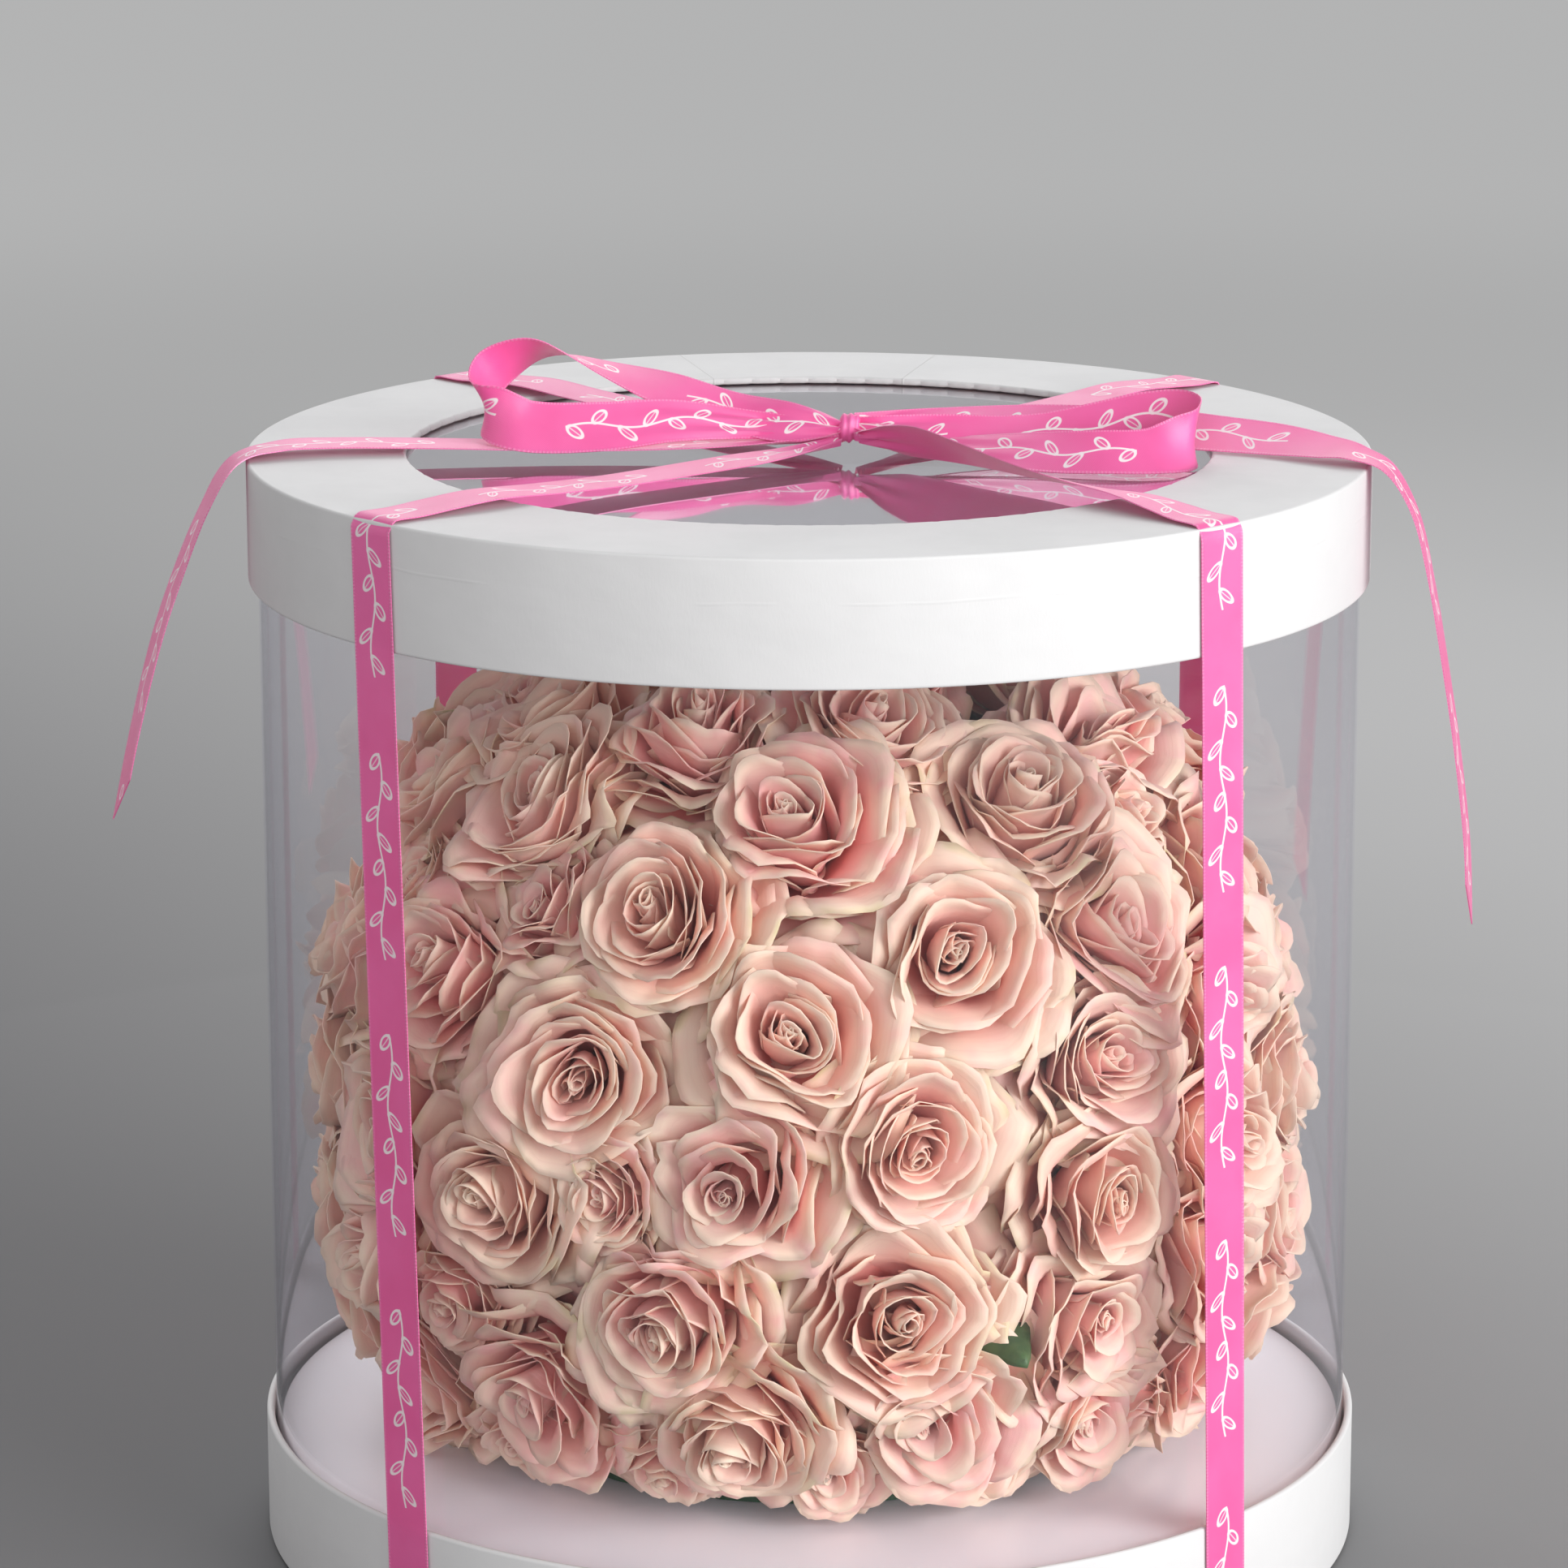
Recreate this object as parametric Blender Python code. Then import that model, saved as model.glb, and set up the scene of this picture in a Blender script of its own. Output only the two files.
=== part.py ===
"""Flower box: a round presentation box with a clear sleeve, a ball of roses and a tied ribbon.

Units are metres, +Z is up.  The origin is the middle of the underside, on the face the box
rests on.  -Y is the front.  Azimuths are measured from the front, positive towards +X.
"""

from math import asin, cos, pi, radians, sin

import bmesh
import bpy
from mathutils import Vector

MM = 0.001

# Driving dimensions
BOX_RADIUS = 150 * MM
BOX_HEIGHT = 300 * MM
BOARD = 2 * MM                    # paper-wrapped cardboard
GAP = 0.3 * MM                    # working gap between neighbouring pieces
SEGMENTS = 72

# Base
RIBBON_THICKNESS = 0.35 * MM
BASE_UNDERSIDE = RIBBON_THICKNESS + GAP
BASE_RIM_HEIGHT = 34.5 * MM
PLATFORM_TOP = 31.3 * MM
SLEEVE_GROOVE = 2.2 * MM

# Sleeve
SLEEVE_OUTER_RADIUS = 147.3 * MM
SLEEVE_WALL = 0.5 * MM
SLEEVE_FOOT = 5 * MM

# Lid
LID_SKIRT_DEPTH = 33 * MM
LID_SKIRT_WALL = 1.8 * MM
LID_HOLE_RADIUS = 107.5 * MM
WINDOW_RADIUS = 116 * MM
WINDOW_THICKNESS = 0.4 * MM
BACKING_THICKNESS = 1.5 * MM
CORNER_ROUNDING = 0.8 * MM

# Rose ball: a superellipse of revolution, flat where it stands on the platform
BALL_RADIUS = 137 * MM
BALL_CENTRE_HEIGHT = 108 * MM
BALL_RISE = 150 * MM
BALL_DROP = 105 * MM
BALL_EXPONENT = 2.5
BLOOM_RELIEF = 15 * MM            # how far the gaps between blooms sink in
CORE_RADIUS = 84 * MM
CORE_RISE = 97 * MM
ARRANGEMENT_FOOT = PLATFORM_TOP + GAP
TIER_GAP = 0.35                   # degrees of the ball's outline between neighbouring tiers
# name, number of blooms, azimuth of the first bloom, upper edge on the ball's outline (degrees)
TIERS = (
    ("roses_tier_1", 14, 14, -13),
    ("roses_tier_2", 14, 9, 2),
    ("roses_tier_3", 15, 13, 13),
    ("roses_tier_4", 14, 20, 25),
    ("roses_tier_5", 13, 19, 39.5),
    ("roses_tier_6", 11, 4, 55),
    ("roses_tier_7", 9, 15, 75),
)
CROWN_NODE = "roses_crown"
FOAM_RADIUS = 81.4 * MM
TRAY_HEIGHT = 22 * MM
TRAY_WALL = 1.5 * MM

# Ribbon
RIBBON_WIDTH = 15 * MM
RIBBON_RIDE = BOX_RADIUS + GAP + RIBBON_THICKNESS / 2
RIBBON_FLAT = BOX_HEIGHT + GAP + RIBBON_THICKNESS / 2
RIBBON_BEND = 1.5 * MM
RIBBON_LANES = 2                  # strips across the ribbon's width
GATHERED_SHARE = 0.3              # width of an arm at the knot, as a share of the full width
GATHER_RATE = 5                   # how soon an arm spreads to its full width
KNOT_CENTRE = Vector((10.5, -3, 305.5)) * MM
KNOT_HALF_SIZE = Vector((2.2, 2.6, 3.2)) * MM
# name, azimuth of the drop at the lid and at the base, knot end (x, y, z mm), lean there
DROPS = (
    ("ribbon_front_left", -47.1, -43.8, (7.2, -6.6, 301.6), 0),
    ("ribbon_front_right", 43.2, 46.4, (14.4, -7.9, 302.6), -60),
    ("ribbon_back_left", -137.5, -137.5, (7.2, 1.6, 301.6), 0),
    ("ribbon_back_right", 132, 132, (14.6, 2.0, 302.0), 0),
)
# Free strands: x, y, z of the middle line in mm, then azimuth (from +X) and elevation in degrees
# of the direction across the ribbon, then the width in mm
LOOP_LEFT = (
    (7.4, -2.5, 307.4, 80, 10, 5),
    (-1, 0, 308.6, 80, 40, 10),
    (-20, 3, 311.5, 83, 42, 15),
    (-37, 6, 316, 82, 34, 15),
    (-53, 9, 321, 80, 17, 15),
    (-67, 10, 325, 85, -12, 15),
    (-77, 8, 324, 78, -42, 15),
    (-86, 4, 319.5, 60, -62, 15),
    (-89, -4, 313.5, -40, -76, 15),
    (-83, -11, 309.2, -90, -70, 15),
    (-71, -14, 307.9, -90, -72, 15),
    (-52, -13, 308.4, -90, -78, 15),
    (-35, -10.5, 309.2, -90, -80, 14),
    (-15, -6.5, 308.4, -90, -80, 9),
    (7.4, -5.0, 305.4, -90, -80, 3.6),
)
LOOP_RIGHT = (
    (13.6, -4.2, 305.8, 90, 40, 4),
    (24, -8.5, 305.0, 90, 38, 9),
    (38, -10.5, 304.8, 90, 35, 14),
    (52, -10.5, 304.6, 88, 32, 15),
    (64, -9.5, 305.0, 84, 33, 15),
    (77, -7, 307.6, 90, 34, 15),
    (90, -7, 310.2, 92, 36, 15),
    (100, -9, 309.8, 90, 38, 15),
    (105.5, -15, 306.5, 88, 42, 15),
    (102, -24, 302.6, 86, 10, 15),
    (92, -29, 301.2, 88, 2, 15),
    (76, -26, 300.9, 90, 0, 15),
    (58, -20, 300.9, 92, 0, 14),
    (36, -12.5, 301.4, 92, 0, 10),
    (13.6, -5.6, 303.4, 92, 0, 3),
)
TAIL_LEFT = (
    (7.2, -3.0, 302.5, 90, 0, 5),
    (-6, -3.5, 302.3, 90, 0, 9),
    (-28, -5, 301.6, 90, 0, 14),
    (-62, -6, 301.2, 90, 0, 15),
    (-96, -6, 301.8, 90, 0, 15),
    (-126, -8, 302.4, 90, 0, 15),
    (-141, -12, 302.2, 95, 0, 15),
    (-152.5, -18.5, 299.0, 104, -4, 15),
    (-160, -23, 287, 105, -7, 15),
    (-167, -26, 270, 107, -8, 15),
    (-173, -29, 252, 107, -9, 15),
    (-179, -31, 228, 106, -10, 15),
    (-184, -33, 204, 106, -12, 2),
)
TAIL_RIGHT = (
    (13.6, -0.6, 307.6, 90, 5, 5),
    (22, 2.2, 306.8, 90, 12, 8),
    (36, 6, 305.6, 90, 20, 13),
    (55, 8, 305.0, 90, 26, 15),
    (72, 9, 304.6, 88, 28, 15),
    (90, 3, 304.6, 86, 29, 15),
    (106, -5, 304.4, 86, 27, 15),
    (122, -12, 304.0, 84, 22, 15),
    (135, -20, 303.4, 80, 12, 15),
    (144, -26, 302.6, 78, 4, 15),
    (152.5, -31, 299.0, 77, -2, 15),
    (159, -35, 288, 77, -8, 15),
    (163, -37, 272, 78, -10, 15),
    (167, -38.5, 250, 78, -10, 15),
    (171, -39.5, 225, 78, -10, 15),
    (174, -40.5, 200, 78, -10, 15),
    (175, -41.5, 177, 78, -10, 2),
)
TAIL_LEFT_HINGE = 6               # station at which the hanging part of the tail starts
TAIL_RIGHT_HINGE = 9
HINGE_SPLIT = 0.25 * MM           # half of the cut between a tail's two parts


def remove_everything():
    for obj in list(bpy.data.objects):
        bpy.data.objects.remove(obj, do_unlink=True)


def material(name, colour, roughness, metallic=0.0, alpha=1.0):
    made = bpy.data.materials.new(name)
    made.use_nodes = True
    shader = made.node_tree.nodes["Principled BSDF"]
    shader.inputs["Base Color"].default_value = (*colour, 1)
    shader.inputs["Roughness"].default_value = roughness
    shader.inputs["Metallic"].default_value = metallic
    shader.inputs["Alpha"].default_value = alpha
    made.diffuse_color = (*colour, alpha)
    return made


def add_object(name, points, faces, look, parent, origin=None, smooth_angle=30):
    """A named object from points in world space, with its origin on its body's joint."""
    origin = Vector(origin) if origin is not None else Vector()
    mesh = bpy.data.meshes.new(name)
    mesh.from_pydata([Vector(point) - origin for point in points], [], faces)
    work = bmesh.new()
    work.from_mesh(mesh)
    bmesh.ops.recalc_face_normals(work, faces=work.faces)
    work.to_mesh(mesh)
    work.free()
    mesh.shade_smooth()
    mesh.set_sharp_from_angle(angle=radians(smooth_angle))
    mesh.materials.append(look)
    obj = bpy.data.objects.new(name, mesh)
    bpy.context.collection.objects.link(obj)
    obj.parent = parent
    obj.location = origin - world_place(parent)
    return obj


def world_place(empty):
    place = Vector()
    while empty:
        place += empty.location
        empty = empty.parent
    return place


def add_body(name, place=(0, 0, 0), parent=None):
    empty = bpy.data.objects.new(name, None)
    bpy.context.collection.objects.link(empty)
    empty.parent = parent
    empty.location = Vector(place) - world_place(parent)
    return empty


def turned(name, outline, look, parent, segments=SEGMENTS):
    """A solid of revolution; the outline is a closed loop of (radius, height) points."""
    points = []
    rings = []
    for radius, height in outline:
        if radius == 0:
            rings.append([len(points)] * segments)
            points.append((0, 0, height))
            continue
        rings.append([len(points) + step for step in range(segments)])
        for step in range(segments):
            angle = 2 * pi * step / segments
            points.append((radius * cos(angle), radius * sin(angle), height))
    faces = []
    for this, after in zip(rings, rings[1:] + rings[:1]):
        for step in range(segments):
            nxt = (step + 1) % segments
            corners = [this[step], this[nxt], after[nxt], after[step]]
            corners = list(dict.fromkeys(corners))
            if len(corners) > 2:
                faces.append(corners)
    return add_object(name, points, faces, look, parent)


def tube_outline(inner, outer, low, high):
    return [(outer, low), (outer, high), (inner, high), (inner, low)]


def disc_outline(radius, low, high):
    return [(0, low), (radius, low), (radius, high), (0, high)]


def rounded_board_outline(inner, outer, low, high):
    """A flat ring whose outer upper edge is rounded."""
    arc = [
        (outer - CORNER_ROUNDING * (1 - cos(angle)), high - CORNER_ROUNDING * (1 - sin(angle)))
        for angle in (0, pi / 4, pi / 2)
    ]
    return [(outer, low), *arc, (inner, high), (inner, low)]


# ---------------------------------------------------------------- base


def make_base(base, board):
    underside = BASE_UNDERSIDE
    floor_top = underside + BOARD
    wall_inner = BOX_RADIUS - BOARD
    collar_outer = wall_inner - SLEEVE_GROOVE
    collar_top = PLATFORM_TOP - BOARD - GAP
    turned("base_wall", tube_outline(wall_inner, BOX_RADIUS, underside, BASE_RIM_HEIGHT), board, base)
    turned("base_floor", disc_outline(wall_inner - GAP, underside, floor_top), board, base)
    turned(
        "platform_collar",
        tube_outline(collar_outer - BOARD, collar_outer, floor_top + GAP, collar_top),
        board,
        base,
    )
    turned("platform", disc_outline(collar_outer, PLATFORM_TOP - BOARD, PLATFORM_TOP), board, base)


# ---------------------------------------------------------------- sleeve


def make_sleeve(sleeve, film):
    lid_underside = BOX_HEIGHT - BOARD - GAP - WINDOW_THICKNESS - GAP - BACKING_THICKNESS
    outline = tube_outline(
        SLEEVE_OUTER_RADIUS - SLEEVE_WALL, SLEEVE_OUTER_RADIUS, SLEEVE_FOOT, lid_underside - GAP
    )
    turned("clear_sleeve", outline, film, sleeve)


# ---------------------------------------------------------------- lid


def make_lid(lid, board, film):
    board_low = BOX_HEIGHT - BOARD
    window_low = board_low - GAP - WINDOW_THICKNESS
    backing_low = window_low - GAP - BACKING_THICKNESS
    skirt_inner = BOX_RADIUS - LID_SKIRT_WALL
    turned(
        "lid_top",
        rounded_board_outline(LID_HOLE_RADIUS, BOX_RADIUS, board_low, BOX_HEIGHT),
        board,
        lid,
    )
    turned(
        "lid_skirt",
        tube_outline(skirt_inner, BOX_RADIUS, BOX_HEIGHT - LID_SKIRT_DEPTH, board_low - GAP),
        board,
        lid,
    )
    turned("lid_window", disc_outline(WINDOW_RADIUS, window_low, window_low + WINDOW_THICKNESS), film, lid)
    turned(
        "window_backing_ring",
        tube_outline(LID_HOLE_RADIUS + BOARD, skirt_inner - GAP, backing_low, window_low - GAP),
        board,
        lid,
    )


# ---------------------------------------------------------------- arrangement


def ball_point(angle, radius, rise, drop):
    """Point (radius, height) of a superellipse outline at an angle from its widest level."""
    power = 2 / BALL_EXPONENT
    across = radius * cos(angle) ** power
    up = abs(sin(angle)) ** power
    return across, BALL_CENTRE_HEIGHT + (rise * up if angle > 0 else -drop * up)


def core_point(angle, outer_height):
    """Inner end of a tier at the same angle: upright below the ball's middle, domed above."""
    if angle <= 0:
        return CORE_RADIUS, outer_height
    return ball_point(angle, CORE_RADIUS, CORE_RISE, BALL_DROP)


def foot_angle():
    """Angle at which the ball's outline meets the platform."""
    depth = (BALL_CENTRE_HEIGHT - ARRANGEMENT_FOOT) / BALL_DROP
    return -asin(depth ** (BALL_EXPONENT / 2))


def make_tier(name, blooms, first, low, high, look, parent):
    """A ring of touching blooms: the ball's outer skin, domed once for each bloom."""
    around = 6
    up = 5
    points = []
    for step in range(blooms * around):
        azimuth = radians(first) + 2 * pi * step / (blooms * around)
        across = (step % around) / around * 2
        across = min(across, 2 - across)
        ring = []
        for level in range(up + 1):
            share = level / up
            angle = low + (high - low) * share
            bulge = max(0.0, 1 - across ** 2 - (2 * share - 1) ** 2) ** 0.5
            sink = BLOOM_RELIEF * (1 - bulge)
            radius, height = ball_point(angle, BALL_RADIUS, BALL_RISE, BALL_DROP)
            ring.append((radius, height, sink, angle))
        inner_low = core_point(low, ring[0][1])
        inner_high = core_point(high, ring[-1][1])
        outline = [inner_low]
        for radius, height, sink, angle in ring:
            flat = 1 if angle <= 0 else cos(angle)
            lift = 0 if angle <= 0 else sin(angle)
            outline.append((radius - sink * flat, height - sink * lift))
        outline.append(inner_high)
        for radius, height in outline:
            points.append((radius * sin(azimuth), -radius * cos(azimuth), height))
    size = up + 3
    total = blooms * around
    faces = []
    for step in range(total):
        this = step * size
        after = (step + 1) % total * size
        for corner in range(size):
            nxt = (corner + 1) % size
            faces.append((this + corner, after + corner, after + nxt, this + nxt))
    return add_object(name, points, faces, look, parent, smooth_angle=40)


def make_crown(low, look, parent):
    """The blooms that close the ball on top, as one shallow dome."""
    steps = 5
    outline = [(0, ball_point(pi / 2, CORE_RADIUS, CORE_RISE, BALL_DROP)[1])]
    outline.append(core_point(low, 0))
    for step in range(steps):
        angle = low + (pi / 2 - low) * step / steps
        radius, height = ball_point(angle, BALL_RADIUS, BALL_RISE, BALL_DROP)
        outline.append((radius - BLOOM_RELIEF / 2 * (step == 0), height - BLOOM_RELIEF / 2 * (step == 0)))
    outline.append((0, BALL_CENTRE_HEIGHT + BALL_RISE))
    turned(CROWN_NODE, outline, look, parent, segments=24)


def make_foam(arrangement, foam, plastic):
    tray_low = ARRANGEMENT_FOOT
    tray_outer = CORE_RADIUS - GAP
    tray_inner = tray_outer - TRAY_WALL
    tray_floor = tray_low + TRAY_WALL
    tray_high = tray_low + TRAY_HEIGHT
    turned(
        "foam_tray",
        [
            (0, tray_low),
            (tray_outer, tray_low),
            (tray_outer, tray_high),
            (tray_inner, tray_high),
            (tray_inner, tray_floor),
            (0, tray_floor),
        ],
        plastic,
        arrangement,
        segments=48,
    )
    dome_steps = 6
    dome = [
        ball_point(pi / 2 * step / dome_steps, FOAM_RADIUS, CORE_RISE - 2 * MM, BALL_DROP)
        for step in range(dome_steps)
    ]
    top = BALL_CENTRE_HEIGHT + CORE_RISE - 2 * MM
    foot = tray_floor + GAP
    turned("wet_foam", [(0, foot), (FOAM_RADIUS, foot), *dome, (0, top)], foam, arrangement, segments=48)


def make_arrangement(arrangement, petal, foam, plastic):
    make_foam(arrangement, foam, plastic)
    low = foot_angle()
    gap = radians(TIER_GAP)
    for name, blooms, first, edge in TIERS:
        high = radians(edge)
        make_tier(name, blooms, first, low, high - gap, petal, arrangement)
        low = high + gap
    make_crown(low, petal, arrangement)


# ---------------------------------------------------------------- ribbon


def smooth_path(stations, steps):
    """Catmull-Rom curve through stations, which are equal-length tuples of numbers."""
    path = []
    last = len(stations) - 1
    for index in range(last):
        before = stations[max(index - 1, 0)]
        start = stations[index]
        end = stations[index + 1]
        after = stations[min(index + 2, last)]
        for step in range(steps):
            t = step / steps
            path.append(tuple(catmull_rom(a, b, c, d, t) for a, b, c, d in zip(before, start, end, after)))
    path.append(stations[-1])
    return path


def catmull_rom(a, b, c, d, t):
    return 0.5 * (2 * b + (c - a) * t + (2 * a - 5 * b + 4 * c - d) * t ** 2 + (3 * b - a - 3 * c + d) * t ** 3)


def squared(rough):
    """Frames (middle, across, normal, width) made square to the path they follow."""
    frames = []
    for index, (place, across, width) in enumerate(rough):
        before = rough[max(index - 1, 0)][0]
        after = rough[min(index + 1, len(rough) - 1)][0]
        along = (after - before).normalized()
        across = (across - along * across.dot(along)).normalized()
        frames.append((place, across, along.cross(across), width))
    return frames


def ribbon(name, frames, look, parent, origin=None):
    """A flat strip swept through its frames; its two faces are split along the same diagonals."""
    lanes = RIBBON_LANES + 1
    points = []
    for place, across, normal, width in frames:
        for side in (-1, 1):
            for lane in range(lanes):
                offset = across * width * (lane / RIBBON_LANES - 0.5)
                points.append(place + offset + normal * side * RIBBON_THICKNESS / 2)
    ring = [*range(lanes), *range(2 * lanes - 1, lanes - 1, -1)]
    last = 2 * lanes * (len(frames) - 1)
    faces = [tuple(ring), tuple(last + corner for corner in reversed(ring))]
    for index in range(len(frames) - 1):
        this = 2 * lanes * index
        after = this + 2 * lanes
        for near, far in zip(ring, ring[1:] + ring[:1]):
            on_back_face = near >= lanes and far >= lanes
            if on_back_face:
                near, far = far, near
            faces.append((this + near, after + near, after + far))
            faces.append((this + near, after + far, this + far))
    return add_object(name, points, faces, look, parent, origin)


def across_direction(azimuth, elevation):
    flat = cos(radians(elevation))
    return Vector((
        flat * cos(radians(azimuth)),
        flat * sin(radians(azimuth)),
        sin(radians(elevation)),
    ))


def strand_frames(stations, steps=3):
    """Frames of a free strand from its stations."""
    loose = []
    for x, y, z, azimuth, elevation, width in stations:
        loose.append((x, y, z, *across_direction(azimuth, elevation), width))
    return squared([
        (Vector(row[:3]) * MM, Vector(row[3:6]), row[6] * MM) for row in smooth_path(loose, steps)
    ])


def drop_frames(lid_azimuth, base_azimuth, knot_end, lean):
    """Frames of one arm: from the knot across the lid, round its edge and down to the underside."""
    outward = turned_outward(lid_azimuth)
    knot_end = Vector(knot_end) * MM
    edge = outward * (BOX_RADIUS - RIBBON_BEND) + Vector((0, 0, RIBBON_FLAT))
    flat_run = (edge - knot_end).normalized()
    across = Vector((-flat_run.y, flat_run.x, 0)).normalized()
    frames = []
    for share in (0, 0.08, 0.2, 0.35, 0.5, 0.65, 0.8, 0.92):
        place = knot_end.lerp(edge, share)
        place.z = RIBBON_FLAT + (knot_end.z - RIBBON_FLAT) * (1 - share) ** 6
        roll = radians(lean) * (1 - share) ** 2
        # a leaning strand stands on its edge, so its middle rides higher
        place.z += abs(sin(roll)) * RIBBON_WIDTH / 2 * min(1, share * GATHER_RATE)
        width = RIBBON_WIDTH * min(1, GATHERED_SHARE + share * GATHER_RATE)
        frames.append((place, across * cos(roll) + Vector((0, 0, sin(roll))), width))
    bend_centre = BOX_RADIUS - RIBBON_BEND
    bend = RIBBON_RIDE - bend_centre
    for angle in (0, 30, 60, 90):
        reach = bend_centre + bend * sin(radians(angle))
        height = BOX_HEIGHT - RIBBON_BEND + bend * cos(radians(angle))
        frames.append((outward * reach + Vector((0, 0, height)), sideways(outward), RIBBON_WIDTH))
    skirt_edge = BOX_HEIGHT - LID_SKIRT_DEPTH
    free_drop = skirt_edge - BASE_RIM_HEIGHT
    for share in (0, 0.25, 0.5, 0.75, 1):
        outward = turned_outward(lid_azimuth + (base_azimuth - lid_azimuth) * share)
        place = outward * RIBBON_RIDE + Vector((0, 0, skirt_edge - free_drop * share))
        frames.append((place, sideways(outward), RIBBON_WIDTH))
    underside = outward * RIBBON_RIDE + Vector((0, 0, RIBBON_THICKNESS))
    frames.append((underside, sideways(outward), RIBBON_WIDTH))
    return squared(frames)


def turned_outward(azimuth):
    """The horizontal direction away from the box's axis at an azimuth in degrees."""
    return Vector((sin(radians(azimuth)), -cos(radians(azimuth)), 0))


def sideways(outward):
    return Vector((-outward.y, outward.x, 0))


def make_knot(name, look, parent):
    """A small pinched knot: an upright barrel, narrower at its waist."""
    segments = 12
    levels = 6
    outline = []
    for level in range(1, levels):
        angle = pi * level / levels
        outline.append((sin(angle) ** 0.6, -cos(angle)))
    points = [KNOT_CENTRE - Vector((0, 0, KNOT_HALF_SIZE.z))]
    for radius, height in outline:
        for step in range(segments):
            turn = 2 * pi * step / segments
            offset = Vector((radius * cos(turn), radius * sin(turn), height))
            points.append(KNOT_CENTRE + offset * KNOT_HALF_SIZE)
    points.append(KNOT_CENTRE + Vector((0, 0, KNOT_HALF_SIZE.z)))
    faces = []
    for step in range(segments):
        nxt = (step + 1) % segments
        faces.append((0, 1 + nxt, 1 + step))
        faces.append((len(points) - 1, len(points) - 1 - segments + step, len(points) - 1 - segments + nxt))
        for level in range(len(outline) - 1):
            low = 1 + level * segments
            faces.append((low + step, low + nxt, low + segments + nxt, low + segments + step))
    return add_object(name, points, faces, look, parent)


def split_tail(stations, hinge, steps=3):
    """Frames of a tail's part on the lid and of its hanging part, with a small cut between."""
    frames = strand_frames(stations, steps)
    cut = hinge * steps
    lying = frames[: cut + 1]
    hanging = frames[cut:]
    place, across, normal, width = frames[cut]
    along = across.cross(normal) * HINGE_SPLIT
    lying[-1] = (place - along, across, normal, width)
    hanging[0] = (place + along, across, normal, width)
    return lying, hanging, place


def make_under_cross(look, parent):
    """The two ribbon runs under the base, as one flat cross that meets the four drops."""
    half = RIBBON_WIDTH / 2
    reach = BOX_RADIUS - GAP
    corners = []
    azimuths = sorted(base for _, _, base, _, _ in DROPS)
    for azimuth, after in zip(azimuths, azimuths[1:] + [azimuths[0] + 360]):
        outward = turned_outward(azimuth)
        side = sideways(outward) * half
        corners += [outward * reach - side, outward * reach + side]
        opening = radians(after - azimuth) / 2
        corners.append(turned_outward((azimuth + after) / 2) * half / sin(opening))
    count = len(corners)
    lift = Vector((0, 0, RIBBON_THICKNESS))
    points = corners + [corner + lift for corner in corners]
    faces = [tuple(range(count)), tuple(range(2 * count - 1, count - 1, -1))]
    for corner in range(count):
        nxt = (corner + 1) % count
        faces.append((corner, nxt, count + nxt, count + corner))
    return add_object("ribbon_under_cross", points, faces, look, parent)


def make_ribbon(bodies, satin):
    tied = bodies["ribbon"]
    for name, lid_azimuth, base_azimuth, knot_end, lean in DROPS:
        ribbon(name, drop_frames(lid_azimuth, base_azimuth, knot_end, lean), satin, tied)
    make_knot("bow_knot", satin, tied)
    ribbon("bow_loop_left", strand_frames(LOOP_LEFT), satin, tied)
    ribbon("bow_loop_right", strand_frames(LOOP_RIGHT), satin, tied)
    tails = (
        ("left", TAIL_LEFT, TAIL_LEFT_HINGE),
        ("right", TAIL_RIGHT, TAIL_RIGHT_HINGE),
    )
    for side, stations, hinge in tails:
        lying, hanging, pivot = split_tail(stations, hinge)
        swinging = add_body("tail_" + side, pivot, tied)
        ribbon("tail_" + side + "_lying", lying, satin, tied)
        ribbon("tail_" + side + "_hanging", hanging, satin, swinging, pivot)


def main():
    remove_everything()
    board = material("white_board", (0.86, 0.86, 0.87), 0.6)
    film = material("clear_film", (0.93, 0.93, 0.97), 0.05, alpha=0.25)
    petal = material("rose_petals", (0.80, 0.50, 0.45), 0.6)
    foam = material("wet_foam", (0.10, 0.28, 0.12), 0.95)
    plastic = material("tray_plastic", (0.08, 0.20, 0.10), 0.4)
    satin = material("pink_satin", (0.84, 0.10, 0.42), 0.35)

    bodies = {"base": add_body("base")}
    for name, carrier in (
        ("arrangement", "base"),
        ("sleeve", "arrangement"),
        ("lid", "sleeve"),
        ("ribbon", "lid"),
    ):
        bodies[name] = add_body(name, parent=bodies[carrier])

    make_base(bodies["base"], board)
    make_under_cross(satin, bodies["base"])
    make_arrangement(bodies["arrangement"], petal, foam, plastic)
    make_sleeve(bodies["sleeve"], film)
    make_lid(bodies["lid"], board, film)
    make_ribbon(bodies, satin)


main()
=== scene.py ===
"""Looks of the flower box: paper-wrapped box, clear sleeve, ball of roses and satin ribbon.

Lengths are metres unless a name says otherwise.  Azimuths are measured from the front (-Y),
positive towards +X.  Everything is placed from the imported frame's own boxes.
"""

from math import cos, pi, radians, sin

import bpy
import numpy as np
from mathutils import Matrix, Vector


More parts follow.
